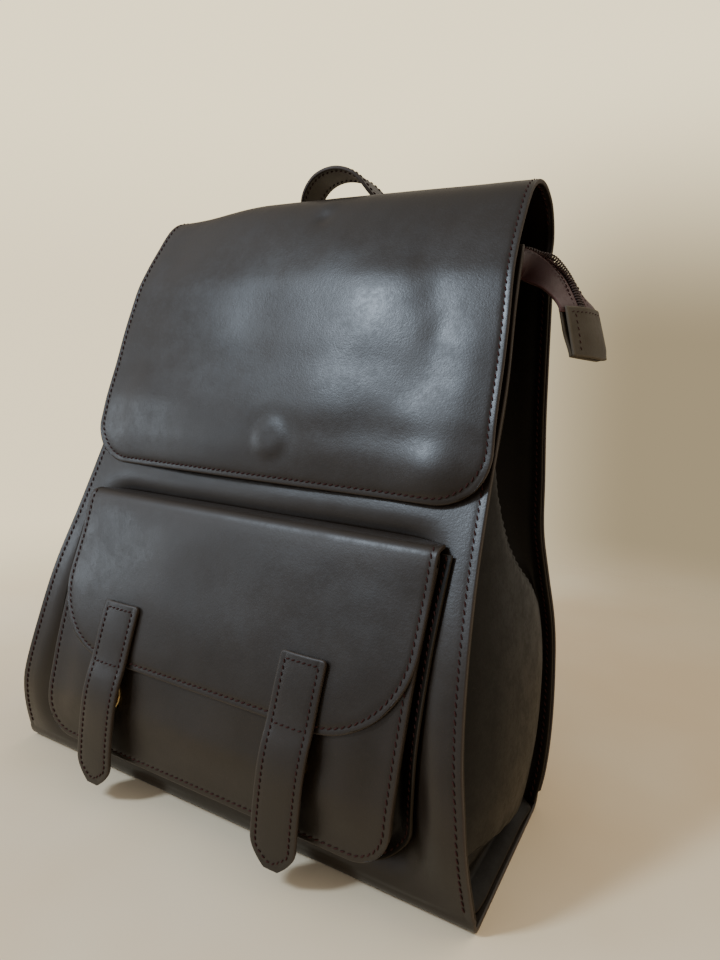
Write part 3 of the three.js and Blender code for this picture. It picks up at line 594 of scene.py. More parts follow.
def gusset_shift(u, z):
    """How far the gusset stands out, at a share of the way from its front seam to its back seam and at a height."""
    ridge = float(gussetRidge(z))
    behind = max((u - ridge) / (1 - ridge), 0)
    fall = float(gussetDepth(z)) * (1 - abs(2 * behind - 1) ** 1.6)
    full = 1 - abs(2 * u - 1) ** 2.6
    crease = 35 - 30 * u
    low = ease((7.5 - z) / 4.5)
    tucked = ease((crease - z) / 8) * ease(u / 0.12) * ease((1 - u) / 0.08)
    second = 1.6 * math.exp(-((z - 0.55 * crease) / 2.5) ** 2)
    foot = (FLANGE - 1.5) * low * ease(u / 0.08) * ease((1 - u) / 0.08)
    return float(gussetBelly(z)) * full * (1 - tucked) - tucked * (3.2 - second) * (1 - low) - fall + foot


def side_gusset(side, name):
    def section(z):
        front, back = frontY(z) + 2.75, backY(z) - 2.75
        front_x, back_x = frontHalf(z) - FLANGE, backHalf(z) - FLANGE
        ridge = float(gussetRidge(z))
        ahead = [ridge * k for k in (0.06, 0.16, 0.3, 0.45, 0.6, 0.75, 0.88, 0.95, 1.0)]
        behind = [ridge + (1 - ridge) * k for k in (0.05, 0.12, 0.24, 0.38, 0.52, 0.66, 0.8, 0.92)]
        full = [(front_x + (back_x - front_x) * u + gusset_shift(u, z), front + (back - front) * u)
                for u in ahead + behind]
        flanges = []
        for inner, half, y, inward in ((front_x, frontHalf(z), front, 0.9), (back_x, backHalf(z), back, -0.9)):
            flanges.append([(half - 0.7, y), (half - 4, y), (inner + 2.2, y), (inner + 0.4, y + inward)])
        return flanges[0] + full + flanges[1][::-1]

    levels = np.concatenate([np.linspace(3.6, 44, 34), np.linspace(46, 60, 7), np.linspace(64, 292, 60)])
    share = np.concatenate([np.linspace(0, 0.11, 9), np.linspace(0.125, 0.875, 56), np.linspace(0.89, 1, 9)])
    grid = []
    for z in levels:
        at, total = line(section(z))
        xy = at(share * total)
        grid.append(xyz(side * xy[:, 0], xy[:, 1], z))
    # The gussets take the darker copy of the leather, which paints their shade.
    leather("gusset_" + name, skin(grid, 2.0), ["side_gusset_" + name], look=SHADED_GUSSET_LOOK)
    sewn("gusset_stitches_" + name, gusset_thread(side))


def gusset_thread(side):
    """The same seams seen from the gusset's side."""
    z = np.linspace(6, 288, 120)
    lines = []
    for y_of, half_of, facing in ((frontY, frontHalf, 1), (backY, backHalf, -1)):
        world = xyz(side * (half_of(z) - BODY_SEAM), y_of(z) + facing * 3.95, z)
        lines.append(thread(world, np.tile([0.0, float(facing), 0.0], (len(z), 1))))
    return lines


side_gusset(-1, "left")
side_gusset(1, "right")


# ---- Main flap with its crown ----
FLAP_CORNER = 28
SNAP_X, SNAP_UP = 7, 23.5  # place of the flap's snap across, and up from the flap's lower edge
flapHalf = smooth([(175, 131), (215, 128), (255, 126), (295, 122.5), (330, 121.5)])
FLAP_LINE = [(-14.5, 175), (-14.3, 176.5), (-14, 179), (-13.4, 184), (-11.8, 193), (-9, 203), (-6.3, 213), (-2.4, 224),
             (2.4, 237), (7, 251), (12, 265), (18, 281), (24.5, 293.5), (30.3, 303.5), (35.8, 312), (40.8, 319),
             (46.5, 325), (53, 328.8), (60, 330.1), (66, 329.4), (71, 327.5), (78.5, 322), (83, 314), (84.9, 306),
             (84.2, 300), (82.3, 295), (82.1, 287)]


FLAP_DENTS = [  # x, z, reach across, reach up, height
    (52, 268, 26, 26, 1.3), (101, 186, 17, 17, 3.0), (76, 292, 9, 12, -0.35), (86, 274, 9, 12, -0.55),
    (92, 252, 8, 12, -0.6), (86, 228, 12, 10, -0.5), (66, 210, 16, 10, -0.5), (112, 236, 10, 24, 0.5),
    (6, 316, 5, 4, -1.2), (5, 323.5, 6, 4, 0.7), (-80, 280, 16, 20, 0.3), (-38, 222, 18, 16, -0.6),
    (-96, 215, 14, 26, 0.5), (-20, 262, 22, 30, -0.9), (24, 296, 16, 12, 0.8), (-58, 298, 26, 14, -0.8),
    (34, 226, 18, 20, 0.5), (-112, 300, 10, 16, 0.7)]


def dented(x, z):
    return sum(h * np.exp(-((x - a) / ra) ** 2 - ((z - b) / rb) ** 2) for a, b, ra, rb, h in FLAP_DENTS)


def main_flap():
    at, total = line(FLAP_LINE)

    def half(s):
        return np.where(s < 185, flapHalf(at(s)[..., 1]), 121.5)

    def place(x, s):
        y, z = at(s)[..., 0], at(s)[..., 1]
        out = outward(at, s)
        d = edge_distance(x, s, half(s), FLAP_CORNER)
        inner = ease((d - 7) / 35) * ease((190 - s) / 40)
        shift = inner * (1.1 * uneven_wide(x + 15, s) + 0.12 * uneven_close(x, s + 9))
        shift = shift - 0.25 * bump(d, BORDER_SEAM, 1.0)
        r = np.hypot(x - SNAP_X, s - SNAP_UP)
        shift = shift + 0.75 * ease((12.5 - r) / 7.5) - 0.14 * bump(r, 13.5, 3.5) - 0.15 * ease((6 - r) / 5)
        crown = np.clip(np.abs(x) / 126, 0, 1) ** 2 - 0.35
        shift = shift - 3.6 * crown * ease((195 - s) / 60) + dented(x, z) * ease((196 - s) / 25)
        left_end = 5 * ease((-x - 45) / 70) * ease((z - 275) / 50)
        return xyz(x, y + out[..., 0] * shift, z + out[..., 1] * shift - left_end)

    rows = np.concatenate([spread(60, 2.6, both=False)[:-1], np.linspace(60, 190, 56)[:-1],
                           np.linspace(190, total, 40)])
    x, s = pattern(rows, spread(256, 2.7) / 128 - 1, half(rows), total, FLAP_CORNER)
    bend = ("bag", "flap", (0, 73, 324), (0, 47, 322))
    leather("flap", skin(place(x, s), LEATHER), ["flap_crown", "main_flap"], "flap", bend)
    route = arc_route(half, total - 26, FLAP_CORNER)
    sewn("flap_stitches", seams(place, [route], LEATHER, (1, -1)), "flap", bend)


main_flap()

# ---- Magnetic snaps ----
CUP = [(0.5, 0), (8.6, 0), (9, 0.3), (9, 1.6), (8.6, 2.1), (7.6, 2.3), (5.4, 2.3), (4.6, 2.1), (4.2, 1.7), (4.1, 1.2),
       (2.2, 1.15), (2.0, 0.6), (0.5, 0.6)]
BUTTON = [(0.5, 0), (8.7, 0), (9, 0.25), (8.8, 0.7), (8.0, 1.0), (5.0, 1.15), (3.2, 1.2), (2.9, 1.5), (2.6, 1.9),
          (0.5, 2.0)]
WASHER = [(3.0, 0), (6.7, 0), (7, 0.2), (7, 0.8), (6.7, 1.0), (3.0, 1.0)]


def snaps():
    """Magnetic snaps of the flap and of both tabs: a cup and its washer on the bag, and a stud on what lifts."""
    panel, pocket, free = float(panelY(SNAP_X, 198)), float(pocketY(56)), float(tabY(56))

    def turned(name, profile, centre, axis, node, body="bag", look=BRASS_LOOK, slot="brass"):
        make(name, [lathe(profile, centre, axis)], look, body, slot, [node])

    steel = {"look": STEEL_LOOK, "slot": "steel"}
    turned("flap_magnet", CUP, (SNAP_X, panel - 1.9, 199), (0, -0.9, 0.43), "flap_snap_cup")
    turned("flap_stud", BUTTON, (SNAP_X, -8.7, 198), (0, 0.96, -0.27), "flap_snap_button", "flap")
    turned("flap_magnet_back", WASHER, (SNAP_X, panel + 1.9, 197), (0, 0.9, -0.43), "flap_snap_washer", **steel)
    for side, x in TABS.items():
        turned("tab_magnet_" + side, CUP, (x, pocket - 1.7, 56.5), (0, -0.97, 0.25), "tab_snap_cup_" + side)
        turned("tab_magnet_back_" + side, WASHER, (x, pocket + 1.8, 55.5), (0, 0.97, -0.25),
               "tab_snap_washer_" + side, **steel)
        turned("tab_stud_" + side, BUTTON, (x, free + 1.8, 55.7), (0, 0.95, -0.3), "tab_snap_button_" + side,
               "tab_" + side)


# ---- Front pocket ----
POCKET_HALF, POCKET_BOTTOM, POCKET_TOP, POCKET_CORNER = 114, 22, 150, 20
TABS = {"left": -62, "right": 60}
pocketY = smooth([(22, -65), (45, -64), (60, -60.5), (75, -56.5), (105, -46.8), (135, -34.4), (150, -28)])
tabY = smooth([(10, -77), (26, -76), (42, -73.6), (56, -70.8), (66, -67.6), (74, -64.2), (90, -58.9), (105, -53.2)])


def pocket_front():
    at, total = line([(pocketY(z), z) for z in np.linspace(POCKET_BOTTOM, POCKET_TOP, 30)])

    def place(x, s):
        d = edge_distance(x, s, POCKET_HALF, POCKET_CORNER)
        inner = ease((d - 8) / 22)
        shift = 1.3 * inner + 0.8 * inner * uneven_close(x + 5, s) - 0.22 * bump(d, BORDER_SEAM, 1.0)
        return xyz(x, at(s)[..., 0] - shift * 0.95, at(s)[..., 1] + shift * 0.2)

    rows = np.concatenate([spread(60, 3.2, both=False)[:-1], np.linspace(60, total, 24)])
    x, s = pattern(rows, spread(228, 3.6) / 114 - 1, POCKET_HALF, total, POCKET_CORNER)
    leather("pocket", skin(place(x, s), LEATHER), ["pocket_front"])
    sewn("pocket_stitches", seams(place, [arc_route(lambda s: POCKET_HALF, total - 2, POCKET_CORNER)], LEATHER))


POCKET_FLAP_LINE = [(-60.9, 73), (-60.4, 75), (-59.6, 78), (-57.8, 84), (-54.4, 94), (-49.5, 107), (-44, 120),
                    (-37.8, 135), (-32.8, 147.5), (-30.4, 153.2), (-28.6, 156.6), (-26.2, 158.2), (-23, 158.5)]


def pocket_gusset():
    """The wall round the pocket, from under its front panel to a flange on the body."""
    low, side = POCKET_BOTTOM + POCKET_CORNER, POCKET_HALF - POCKET_CORNER
    line_y, line_z = zip(*POCKET_FLAP_LINE)
    outline = [(POCKET_HALF, z, 1.0, 0.0) for z in np.linspace(155.5, low, 34)]
    for t in np.radians(np.linspace(0, 90, 14)[1:]):
        c, s = math.cos(t), math.sin(t)
        outline.append((side + POCKET_CORNER * c, low - POCKET_CORNER * s, c, -s))
    left = [(-x, z, -nx, nz) for x, z, nx, nz in reversed(outline)]
    bottom = [(x, POCKET_BOTTOM, 0.0, -1.0) for x in np.linspace(side, -side, 40)[1:-1]]
    across = np.concatenate([np.linspace(0, 0.3, 9), np.linspace(0.34, 0.7, 10), np.linspace(0.74, 1, 8)])
    grid, front_seam, rear_seam = [], [], []
    for i, (x, z, nx, nz) in enumerate(outline + bottom + left):
        def front(inward):
            px, pz = x - nx * inward, z - nz * inward
            under_lid = np.interp(pz, line_z, line_y) + 2.7 if pz > 146 else -99
            return np.array([px, max(pocketY(pz) + 2.3, under_lid), pz])

        def rear(inward):
            px, pz = x - nx * inward, z - nz * inward
            return np.array([px, panelY(px, pz) - 3.1 - 1.4 * (1 - ease((pz - 70) / 40)), pz])
        out = np.array([nx, 0, nz])
        a, b = front(7.5), rear(4.0)
        middle = (a + b) / 2 + out * (-2.2 + 0.8 * math.sin(i * 0.35))
        at, total = line([front(0.4), front(3.5), front(6.0), a + (b - a) * 0.1 + out * 0.2, middle,
                          b - (b - a) * 0.1, rear(2.0), rear(-1.5), rear(-5)])
        grid.append(at(across * total))
        front_seam.append(front(4.6) + np.array([0, 1.0, 0]))
        rear_seam.append(rear(-2.6) - np.array([0, 0.85, 0]))
    # The pocket's side wall takes the darker copy of the leather, which paints the shade of the crease it sits in.
    leather("pocket_side", skin(grid, 1.5), ["pocket_gusset"], look=SHADED_GUSSET_LOOK)
    facing = np.tile([0.0, -1.0, 0.0], (len(rear_seam), 1))
    sewn("pocket_side_stitches", [thread(np.array(rear_seam), facing), thread(np.array(front_seam), -facing)])


def pocket_flap():
    at, total = line(POCKET_FLAP_LINE)
    root, radius, half = 9.0, 46, POCKET_HALF + 0.5

    def place(x, s):
        y, z = at(np.minimum(s, total))[..., 0], at(np.minimum(s, total))[..., 1]
        out = outward(at, np.minimum(s, total - 1))
        d = edge_distance(x, s, half, radius)
        inner = ease((d - 7) / 26) * ease((total - 12 - s) / 20)
        shift = inner * (0.9 * uneven_wide(x - 30, s) + 0.5 * uneven_close(x, s)) - 0.25 * bump(d, BORDER_SEAM, 1.0)
        shift = shift - 1.6 * np.clip(np.abs(x) / 114, 0, 1) ** 4 * ease((total - s) / 30)
        y = y + out[..., 0] * shift
        y = y + np.clip((s - total) / root, 0, 1) * (panelY(x, 157) - 2.4 - y)
        return xyz(x, y, z + out[..., 1] * shift)

    rows = np.concatenate([spread(70, 3.4, both=False)[:-1], np.linspace(70, total + root, 30)])
    x, s = pattern(rows, spread(229, 3.6) / 114.5 - 1, half, total + root, radius)
    bend = ("bag", "pocket_lid", (0, -21.5, 158.5), (0, -30.5, 153))
    points, faces, rim = skin(place(x, s), LEATHER)
    worn_fold = np.tile((0.42 * np.exp(-((s - total + 4) / 11) ** 2)).ravel(), 2)
    rim[:2 * x.size] = np.maximum(rim[:2 * x.size], worn_fold)
    leather("pocket_lid", (points, faces, rim), ["pocket_flap_root", "pocket_flap"], "pocket_lid", bend)
    route = arc_route(lambda s: half, total - 3, radius)
    sewn("pocket_lid_stitches", seams(place, [route], LEATHER, (1, -1)), "pocket_lid", bend)


def tab(side):
    centre = TABS[side]
    at, total = line([(tabY(z), z) for z in np.linspace(10, 105, 24)])
    full = 12.75
    tip = smooth([(0, 0.30), (1.2, 0.42), (4, 0.66), (8, 0.9), (11, 0.985), (13, 1), (14, 1)])
    half = lambda s: full * tip(s)
    sag = wobble(20 + (side == "left"), 60)

    def place(x, s):
        d = np.minimum(half(s) - np.abs(x), s)
        shift = 0.7 * sag(x, s) * ease((total - s) / 40) - 0.2 * bump(d, 3.4, 0.9) - 0.5 * (x / full) ** 2
        return xyz(centre + x, at(s)[..., 0] - shift, at(s)[..., 1])

    rows = np.concatenate([[0, 0.9, 1.8, 2.6, 3.4, 4.4, 5.8, 7.5, 9.5, 12, 15], np.linspace(18, total - 7, 26),
                           total - np.array([5, 4, 3.4, 2.6, 1.3, 0])])
    share = spread(2 * full, 1.8, [0, 1.2, 2.2, 2.9, 3.4, 3.9, 4.8]) / full - 1
    x, s = pattern(rows, share, half(rows), total, 0, 2.2)
    bend = ("pocket_lid", "tab_" + side, (centre, -62.6, 78), (centre, -67.5, 66))
    leather("tab_" + side, skin(place(x, s), LEATHER), ["tab_sewn_" + side, "tab_free_" + side], "pocket_lid", bend)
    inset = 3.4
    left = [(-(half(v) - inset), v) for v in np.linspace(total - inset, 9, 40)] + [(-3.2, 4.6)]
    edge = left + [(0, 3.4)] + [(-x, v) for x, v in reversed(left)]
    across = [(x, total - inset) for x in np.linspace(-9, 9, 8)]
    cross = [(x, 66) for x in np.linspace(-8.2, 8.2, 8)]
    sewn("tab_stitches_" + side, seams(place, [edge, across, cross], LEATHER, form=(3.0, 2.1)), "pocket_lid", bend)


pocket_front()
pocket_gusset()
pocket_flap()
for tab_side in TABS:
    tab(tab_side)
snaps()

# ---- Zip ----
RIDGE = np.array([62.0, 300.0])
ROOTS = {"front": np.array([41.2, 293.6]), "rear": np.array([81.8, 294.2])}
MOUTH = (-83, 104)


def roof(side, along, above):
    """A place on the roof of the zip as an offset (y, z) from its ridge."""
    run = unit(ROOTS[side] - RIDGE)
    up = np.array([run[1], -run[0]]) if side == "front" else np.array([-run[1], run[0]])
    return run * along + up * above


# Stations of the tail: x, y, z, droop and turn in degrees, and scales across and up
TAIL = [(104.4, 62, 300, 0, 0, 1, 1), (111, 62, 300, 2, 0, 0.93, 1.35), (118, 62, 299.5, 8, 2, 0.68, 2.3),
        (125, 61.5, 296.5, 30, 6, 0.52, 2.7), (132.5, 60, 290.5, 45, 10, 0.56, 2.4),
        (140, 57.5, 281.5, 56, 14, 0.68, 1.5), (146, 54.5, 270, 68, 18, 0.76, 0.5),
        (148.4, 53.6, 264, 73, 20, 0.76, 0.4)]
TAIL_AT = [smooth([(i, station[k]) for i, station in enumerate(TAIL)]) for k in range(7)]


def tilted(droop, turn):
    """A turn of the zip: down about the depth axis, then about the upright."""
    return np.array(Matrix.Rotation(-math.radians(turn), 3, "Z") @ Matrix.Rotation(math.radians(droop), 3, "Y"))


def zip_station(t):
    """A station of the tail: its centre, turn, and scales across and up, at a place counted in TAIL rows."""
    x, y, z, droop, turn, scale, rise = (float(f(t)) for f in TAIL_AT)
    return np.array([x, y, z]), tilted(droop, turn), scale, rise


def straight_station(x):
    return np.array([x, RIDGE[0], RIDGE[1]]), np.eye(3), 1.0, 1.0


def on_station(station, offset):
    centre, spin, scale, rise = station
    return centre + spin @ np.array([0, offset[0] * scale, offset[1] * rise])


def zip_strip(stations, side, near, far, above, columns, sag=0.0):
    """A strip of one side of the roof, from near its ridge to far from it."""
    return [[on_station(station, roof(side, near + (far - near) * k, above + sag * math.sin(math.pi * k)))
             for k in np.linspace(0, 1, columns)] for station in stations]


def teeth(stations, side, sunk=None):
    """The coil: one rounded bar over the tape for each turn. The rows of the two sides are half a pitch apart."""
    sunk = sunk or [0.0] * len(stations)
    centres = np.array([on_station(s, roof(side, 1.55, 0.35 - low)) for s, low in zip(stations, sunk)])
    outs = unit(np.array([on_station(s, roof(side, 3, 0.3)) - on_station(s, roof(side, 0.2, 0.45)) for s in stations]))
    along = np.concatenate([[0], np.cumsum(np.linalg.norm(np.diff(centres, axis=0), axis=1))])
    where = np.arange(1.12 if side == "rear" else 0.4, along[-1] - 0.2, 1.45)
    at = lambda v: np.stack([np.interp(where, along, v[:, k]) for k in range(3)], axis=-1)
    out, ahead = unit(at(outs)), unit(at(np.gradient(centres, axis=0)))
    up = unit(np.cross(ahead, out)) * (1 if side == "rear" else -1)
    return capsules(at(centres), out, ahead, up, 3.3, 0.55, 0.4)


def facing_seam(stations, side):
    """The sewn line along a zip facing."""
    seam, top = (np.array([on_station(s, roof(side, 7.6, THIN / 2 + high)) for s in stations]) for high in (0.5, 2.5))
    return thread(seam, unit(top - seam), 2.6, 1.9, 0.3)


def facing(stations, side, near):
    far = float(np.linalg.norm(ROOTS[side] - RIDGE)) - (1.6 if side == "rear" else 0.6)
    return skin(zip_strip(stations, side, near, far, 0, 12, 0.5), THIN)


def zip_half(side):
    body = "zip_leaf_" + side
    stations = [straight_station(x) for x in np.linspace(MOUTH[0], MOUTH[1], 60)]
    make("zip_leaf_" + side, [facing(stations, side, 5.2)], BURGUNDY_LOOK, body, "burgundy_leather",
         ["zip_facing_" + side])
    make("zip_band_" + side, [skin(zip_strip(stations, side, 1.0, 14, -1.35, 8), 0.7)], TAPE_LOOK, body, "zip_tape",
         ["zip_tape_" + side])
    make("zip_teeth_" + side, [teeth(stations, side)], NYLON_LOOK, body, "zip_coil", ["zip_coil_" + side])
    sewn("zip_leaf_stitches_" + side, [facing_seam(stations, side)], body)


def zip_end(name, stations, node, edges=(5.2, 4.4), sunk=None):
    """A part of the zip that stays shut: both facings, both bands and the meshed teeth."""
    sides = ("front", "rear")
    facings = [facing(stations, side, near) for side, near in zip(sides, edges)]
    make(name, facings, BURGUNDY_LOOK, "bag", "burgundy_leather", [node])
    bands = [skin(zip_strip(stations, side, 0.2, 12, -1.35, 8), 0.7) for side in sides]
    make(name + "_band", bands, TAPE_LOOK, "bag", "zip_tape")
    make(name + "_teeth", [teeth(stations, side, sunk) for side in sides], NYLON_LOOK, "bag", "zip_coil")
    sewn(name + "_stitches", [facing_seam(stations, side) for side in sides])


def end_tab():
    """A folded leather tab sewn over the end of the tail: two leaves and the fold along one side."""
    centre = zip_station(6)[0]
    down = unit(np.array([0.27, -0.02, -1.0]))
    spin = tilted(73, 20)
    wide, out = spin[:, 1], spin[:, 2]
    at, total = line([(-13.3, -3.1), (-7, -3.6), (7, -3.4), (12.4, -2.7), (13.4, -1.2), (12.4, 0.2), (7, 1.6), (0, 2.4),
                      (-7, 1.5), (-13.3, 0.2)])
    rows = spread(27, 2.2, [0, 1.3, 2.4, 3.4])
    cols = np.concatenate([np.linspace(0, 0.4, 14)[:-1], np.linspace(0.4, 0.56, 12), np.linspace(0.56, 1, 16)[1:]])

    def place(w, v, height):
        side = w / 27 + 0.5
        corner = ease((w - 6) / 7) * ease((v - 19) / 8)
        fall = 2.4 + 1.4 * side + 0.9 * v + 1.2 * side * v / 27 - corner
        return (centre + down * fall + wide * (w * (1 + 0.07 * v / 27) - 1.6 * corner)
                + out * height * (1 - 0.45 * ease((v - 12) / 14)))

    grid = [[place(w, v, height) for w, height in at(cols * total)] for v in rows]
    make("zip_end_leather", [skin(grid, 1.6)], OLIVE_LOOK, "bag", "olive_leather", ["zip_end_tab"])
    lines = []
    for start, end in (((-11, 3.0), (11, 3.0)), ((-8.5, 3.4), (-8.5, 24.5))):
        points = []
        for w, v in np.linspace(start, end, 20):
            height = np.interp(w, [-13.3, -7, 0, 7, 12.4], [0.2, 1.5, 2.4, 1.6, 0.2])
            points.append(place(w, v, height) + out * 0.8)
        lines.append(thread(np.array(points), np.tile(out, (20, 1)), 2.8, 2.1, 0.28))
    sewn("zip_end_stitches", lines)


zip_half("front")
zip_half("rear")
zip_end("zip_start", [straight_station(x) for x in np.linspace(-120, MOUTH[0] - 0.4, 16)], "zip_end_left")
TAIL_STEPS = np.linspace(0, 6.7, 44)
zip_end("zip_hanging_end", [zip_station(t) for t in TAIL_STEPS], "zip_tail", (4.4, 3.8),
        [1.0 * ease(t) * ease((3.8 - t) / 1.2) for t in TAIL_STEPS])
end_tab()

# ---- Handle, yoke, shoulder straps ----
def ribbon(near, far):
    """A strip between two edges of as many points each, with x from -1 to 1 between them."""
    edges = [[smooth([(i, p[k]) for i, p in enumerate(edge)]) for k in range(3)] for edge in (near, far)]

    def place(x, s):
        a, b = (np.stack([f(s) for f in edge], axis=-1) for edge in edges)
        return a + (b - a) * (np.asarray(x, float)[..., None] + 1) / 2
    return place


def handle():
    """One strap: up from its left foot, twisted through the loop, and down to its right foot."""
    middle = -9
    foot = [(262, backY(262) + 2.3), (274, backY(274) + 2.3), (286, backY(286) + 2.5), (296, 88.0), (305, 87.6)]
    near = [(-36, 89.8, 315), (-33, 84, 324), (-27, 73, 337), (-16, 68.5, 348), (-1, 67.5, 352), (13, 68.5, 348),
            (22, 73, 337), (31, 84, 324), (36, 89.8, 315)]
    far = [(-18, 89.8, 315), (-23, 92, 324), (-24, 90, 334), (-14, 87, 344), (0, 85.5, 347.5), (15, 87, 344),
           (25, 90, 334), (22, 92, 324), (18, 89.8, 315)]
    edges = []
    for reach, loop in ((36, near), (18, far)):
        edge = [(-reach, y, z) for z, y in foot] + loop + [(reach, y, z) for z, y in reversed(foot)]
        edges.append([(middle + x, y, z) for x, y, z in edge])
    place = ribbon(*edges)
    count = len(edges[0])
    x, s = pattern(np.linspace(0, count - 1, 110), spread(18, 1.7, [0, 1.1, 2.1, 2.9, 3.6]) / 9 - 1, 1)
    bend = ("bag", "handle", (0, 89, 308), (0, 89, 322))
    nodes = ["handle_loop", "handle_foot_left", "handle_foot_right"]
    leather("handle", skin(place(x, s), LEATHER), nodes, "handle", bend)
    lines = []
    v = np.linspace(0.3, count - 1.3, 240)
    for edge in (-0.68, 0.68):
        world = place(edge + 0 * v, v)
        across = place(edge + 0.1 + 0 * v, v) - place(edge - 0.1 + 0 * v, v)
        normal = unit(np.cross(across, np.gradient(world, axis=0)))
        for sign in (-1, 1):
            lines.append(thread(world + normal * sign * 1.2, normal * sign, 3.2, 2.2, 0.36))
    sewn("handle_stitches", lines, "handle", bend)


strapX = smooth([(8, 96), (60, 93), (130, 84), (200, 72), (250, 64), (292, 62)])
strapLift = smooth([(8, 2.8), (36, 2.8), (50, 6), (75, 11), (106, 17), (140, 25), (175, 24), (205, 19), (230, 10),
                    (248, 3.6), (256, 3.2), (290, 3.2)])
BUCKLE = 106


def strapY(z):
    return backY(z) + strapLift(z)


def yoke():
    """The plate that holds the strap tops and the handle feet, raised where they pass under it."""
    def place(x, s):
        z = 258 + s
        over_straps = ease((19 - np.abs(np.abs(x) - 62)) / 5)
        over_feet = ease((13.5 - np.abs(np.abs(x + 9) - 27)) / 5)
        d = np.minimum(np.minimum(84 - np.abs(x), s), 34 - s)
        return xyz(x, backY(z) + 2.9 + 3.2 * np.maximum(over_straps, over_feet) - 0.2 * bump(d, 4, 0.9), z)

    x, s = pattern(spread(34, 2.6), spread(168, 2.2) / 84 - 1, 84, 34, 7, 7)
    leather("yoke", skin(place(x, s), 2.0), ["strap_yoke"])
    corners = np.array([(-79, 30), (-79, 4), (79, 4), (79, 30), (-79, 30)], float)
    route = [p for a, b in zip(corners[:-1], corners[1:]) for p in np.linspace(a, b, 30)]
    sewn("yoke_stitches", seams(place, [route], 2.0, (-1,)))


def strap_place(side, offset):
    """Places on a strap, by the distance from its middle and the height."""
    return lambda x, z: xyz(side * strapX(z) + x, strapY(z) + offset(z), z)


def border(half, low, high, inset):
    """The sewn line round a strap end."""
    reach, high, low = half - inset, high - inset, low + inset
    left = [(-reach, v) for v in np.linspace(low, high, 60)]
    return (left + [(x, high) for x in np.linspace(-reach, reach, 8)][1:-1] + [(-x, v) for x, v in reversed(left)]
            + [(x, low) for x in np.linspace(reach, -reach, 8)][1:])


def strap(side, name):
    """An upper strap to the buckle, a lower one through it, its eyelets, and the anchor at the foot."""
    upper = strap_place(side, lambda z: 0)
    rows = np.concatenate([122.5 + np.array([0, 1.2, 2.2, 3.2, 4.2]), np.linspace(130, 282, 60), [284, 286]])
    x, s = pattern(rows, spread(30, 2.0, [0, 1.2, 2.2, 3.0, 3.6, 4.3, 5.4]) / 15 - 1, 15)
    leather("strap_upper_leather_" + name, skin(upper(x, s), 3.0), ["strap_upper_" + name])
    sewn("strap_upper_stitches_" + name, seams(upper, [border(15, 122.5, 256, 3.6)], 3.0, (-1, 1)))

    lower = strap_place(side, smooth([(14, 0), (50, 0), (75, -2), (BUCKLE - 14, -4), (BUCKLE - 9.5, -3.6),
                                      (BUCKLE + 9.5, 3.7), (BUCKLE + 14, 4.4), (BUCKLE + 22, 4.2), (160, 4)]))
    rows = np.concatenate([np.linspace(14, 88, 34), np.linspace(90, 124, 26), np.linspace(126, 160, 20)])
    half = np.where(rows > 152, 9.5 * np.sqrt(np.clip(1 - ((rows - 152) / 9.4) ** 2, 0.12, 1)), 9.5)
    x, s = pattern(rows, spread(19, 1.8, [0, 1.0, 2.0, 2.8, 3.5]) / 9.5 - 1, half)
    leather("strap_lower_leather_" + name, skin(lower(x, s), LEATHER), ["strap_lower_" + name])
    routes = [[(reach, v) for v in part] for reach in (-6.4, 6.4)
              for part in (np.linspace(16, 92, 40), np.linspace(118, 150, 20))]
    sewn("strap_lower_stitches_" + name, seams(lower, routes, LEATHER, (-1,)))

    ring = [(1.1, 0), (2.6, 0), (2.7, 0.25), (2.4, 0.5), (1.7, 0.55), (1.3, 0.35), (1.1, 0.1)]
    eyelets = []
    for z in (64, 78, 128, 148):
        below, here, above = (lower(0.0, float(z + step)) for step in (-1, 0, 1))
        out = unit(np.cross(above - below, np.array([1.0, 0, 0])))
        out = out * np.sign(out[1])
        eyelets.append(lathe(ring, tuple(here + out * (LEATHER / 2 - 0.05)), tuple(out), 24))
    make("strap_eyelets_" + name, eyelets, BRASS_LOOK, "bag", "brass")

    def anchor(x, s):
        lift = 2.6 + 3.4 * ease((13 - np.abs(x)) / 3) * ease((s - 4) / 5)
        return xyz(side * 96 + x, backY(8 + s) + lift, 8 + s)
    x, s = pattern(spread(30, 2.4), spread(32, 2.2) / 16 - 1, 16, 30, 4, 4)
    leather("strap_anchor_leather_" + name, skin(anchor(x, s), 1.8), ["strap_anchor_" + name])
    sewn("strap_anchor_stitches_" + name, seams(anchor, [border(16, 0, 30, 2.6)], 1.8, (-1,)))


def bevelled(node, width, name, look=BRASS_LOOK):
    """A CAD piece with softened edges."""
    source = frame["nodes"][node]
    thing = added(name, source.data.copy())
    weld = thing.modifiers.new("weld", "WELD")
    weld.merge_threshold = 0.00001
    soften = thing.modifiers.new("soften", "BEVEL")
    soften.width = width * MM
    soften.segments = 3
    soften.limit_method = "ANGLE"
    soften.angle_limit = math.radians(35)
    data = bpy.data.meshes.new_from_object(thing.evaluated_get(bpy.context.evaluated_depsgraph_get()))
    thing.modifiers.clear()
    thing.data = data
    smoothed(data, look)
    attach(thing, source["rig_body"])
    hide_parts(node)


handle()
yoke()
for strap_side, strap_name in ((-1, "left"), (1, "right")):
    strap(strap_side, strap_name)
    bevelled("buckle_frame_" + strap_name, 0.9, "buckle_" + strap_name)
    bevelled("buckle_prong_" + strap_name, 0.5, "prong_" + strap_name)
    bevelled("strap_keeper_" + strap_name, 0.6, "keeper_" + strap_name, LEATHER_LOOK)
bevelled("zip_slider", 0.35, "slider")
bevelled("zip_pull", 0.3, "pull")


# ---- Floor, backdrop and light ----
def add_light(name, kind, direction, power, color, **settings):
    """A light that shines from a direction."""
    data = bpy.data.lights.new(name, kind)
    data.energy = power
    data.color = color
    for key, value in settings.items():
        setattr(data, key, value)
    light = added(name, data)
    light.rotation_euler = Vector(direction).to_track_quat("Z", "Y").to_euler()
    return light


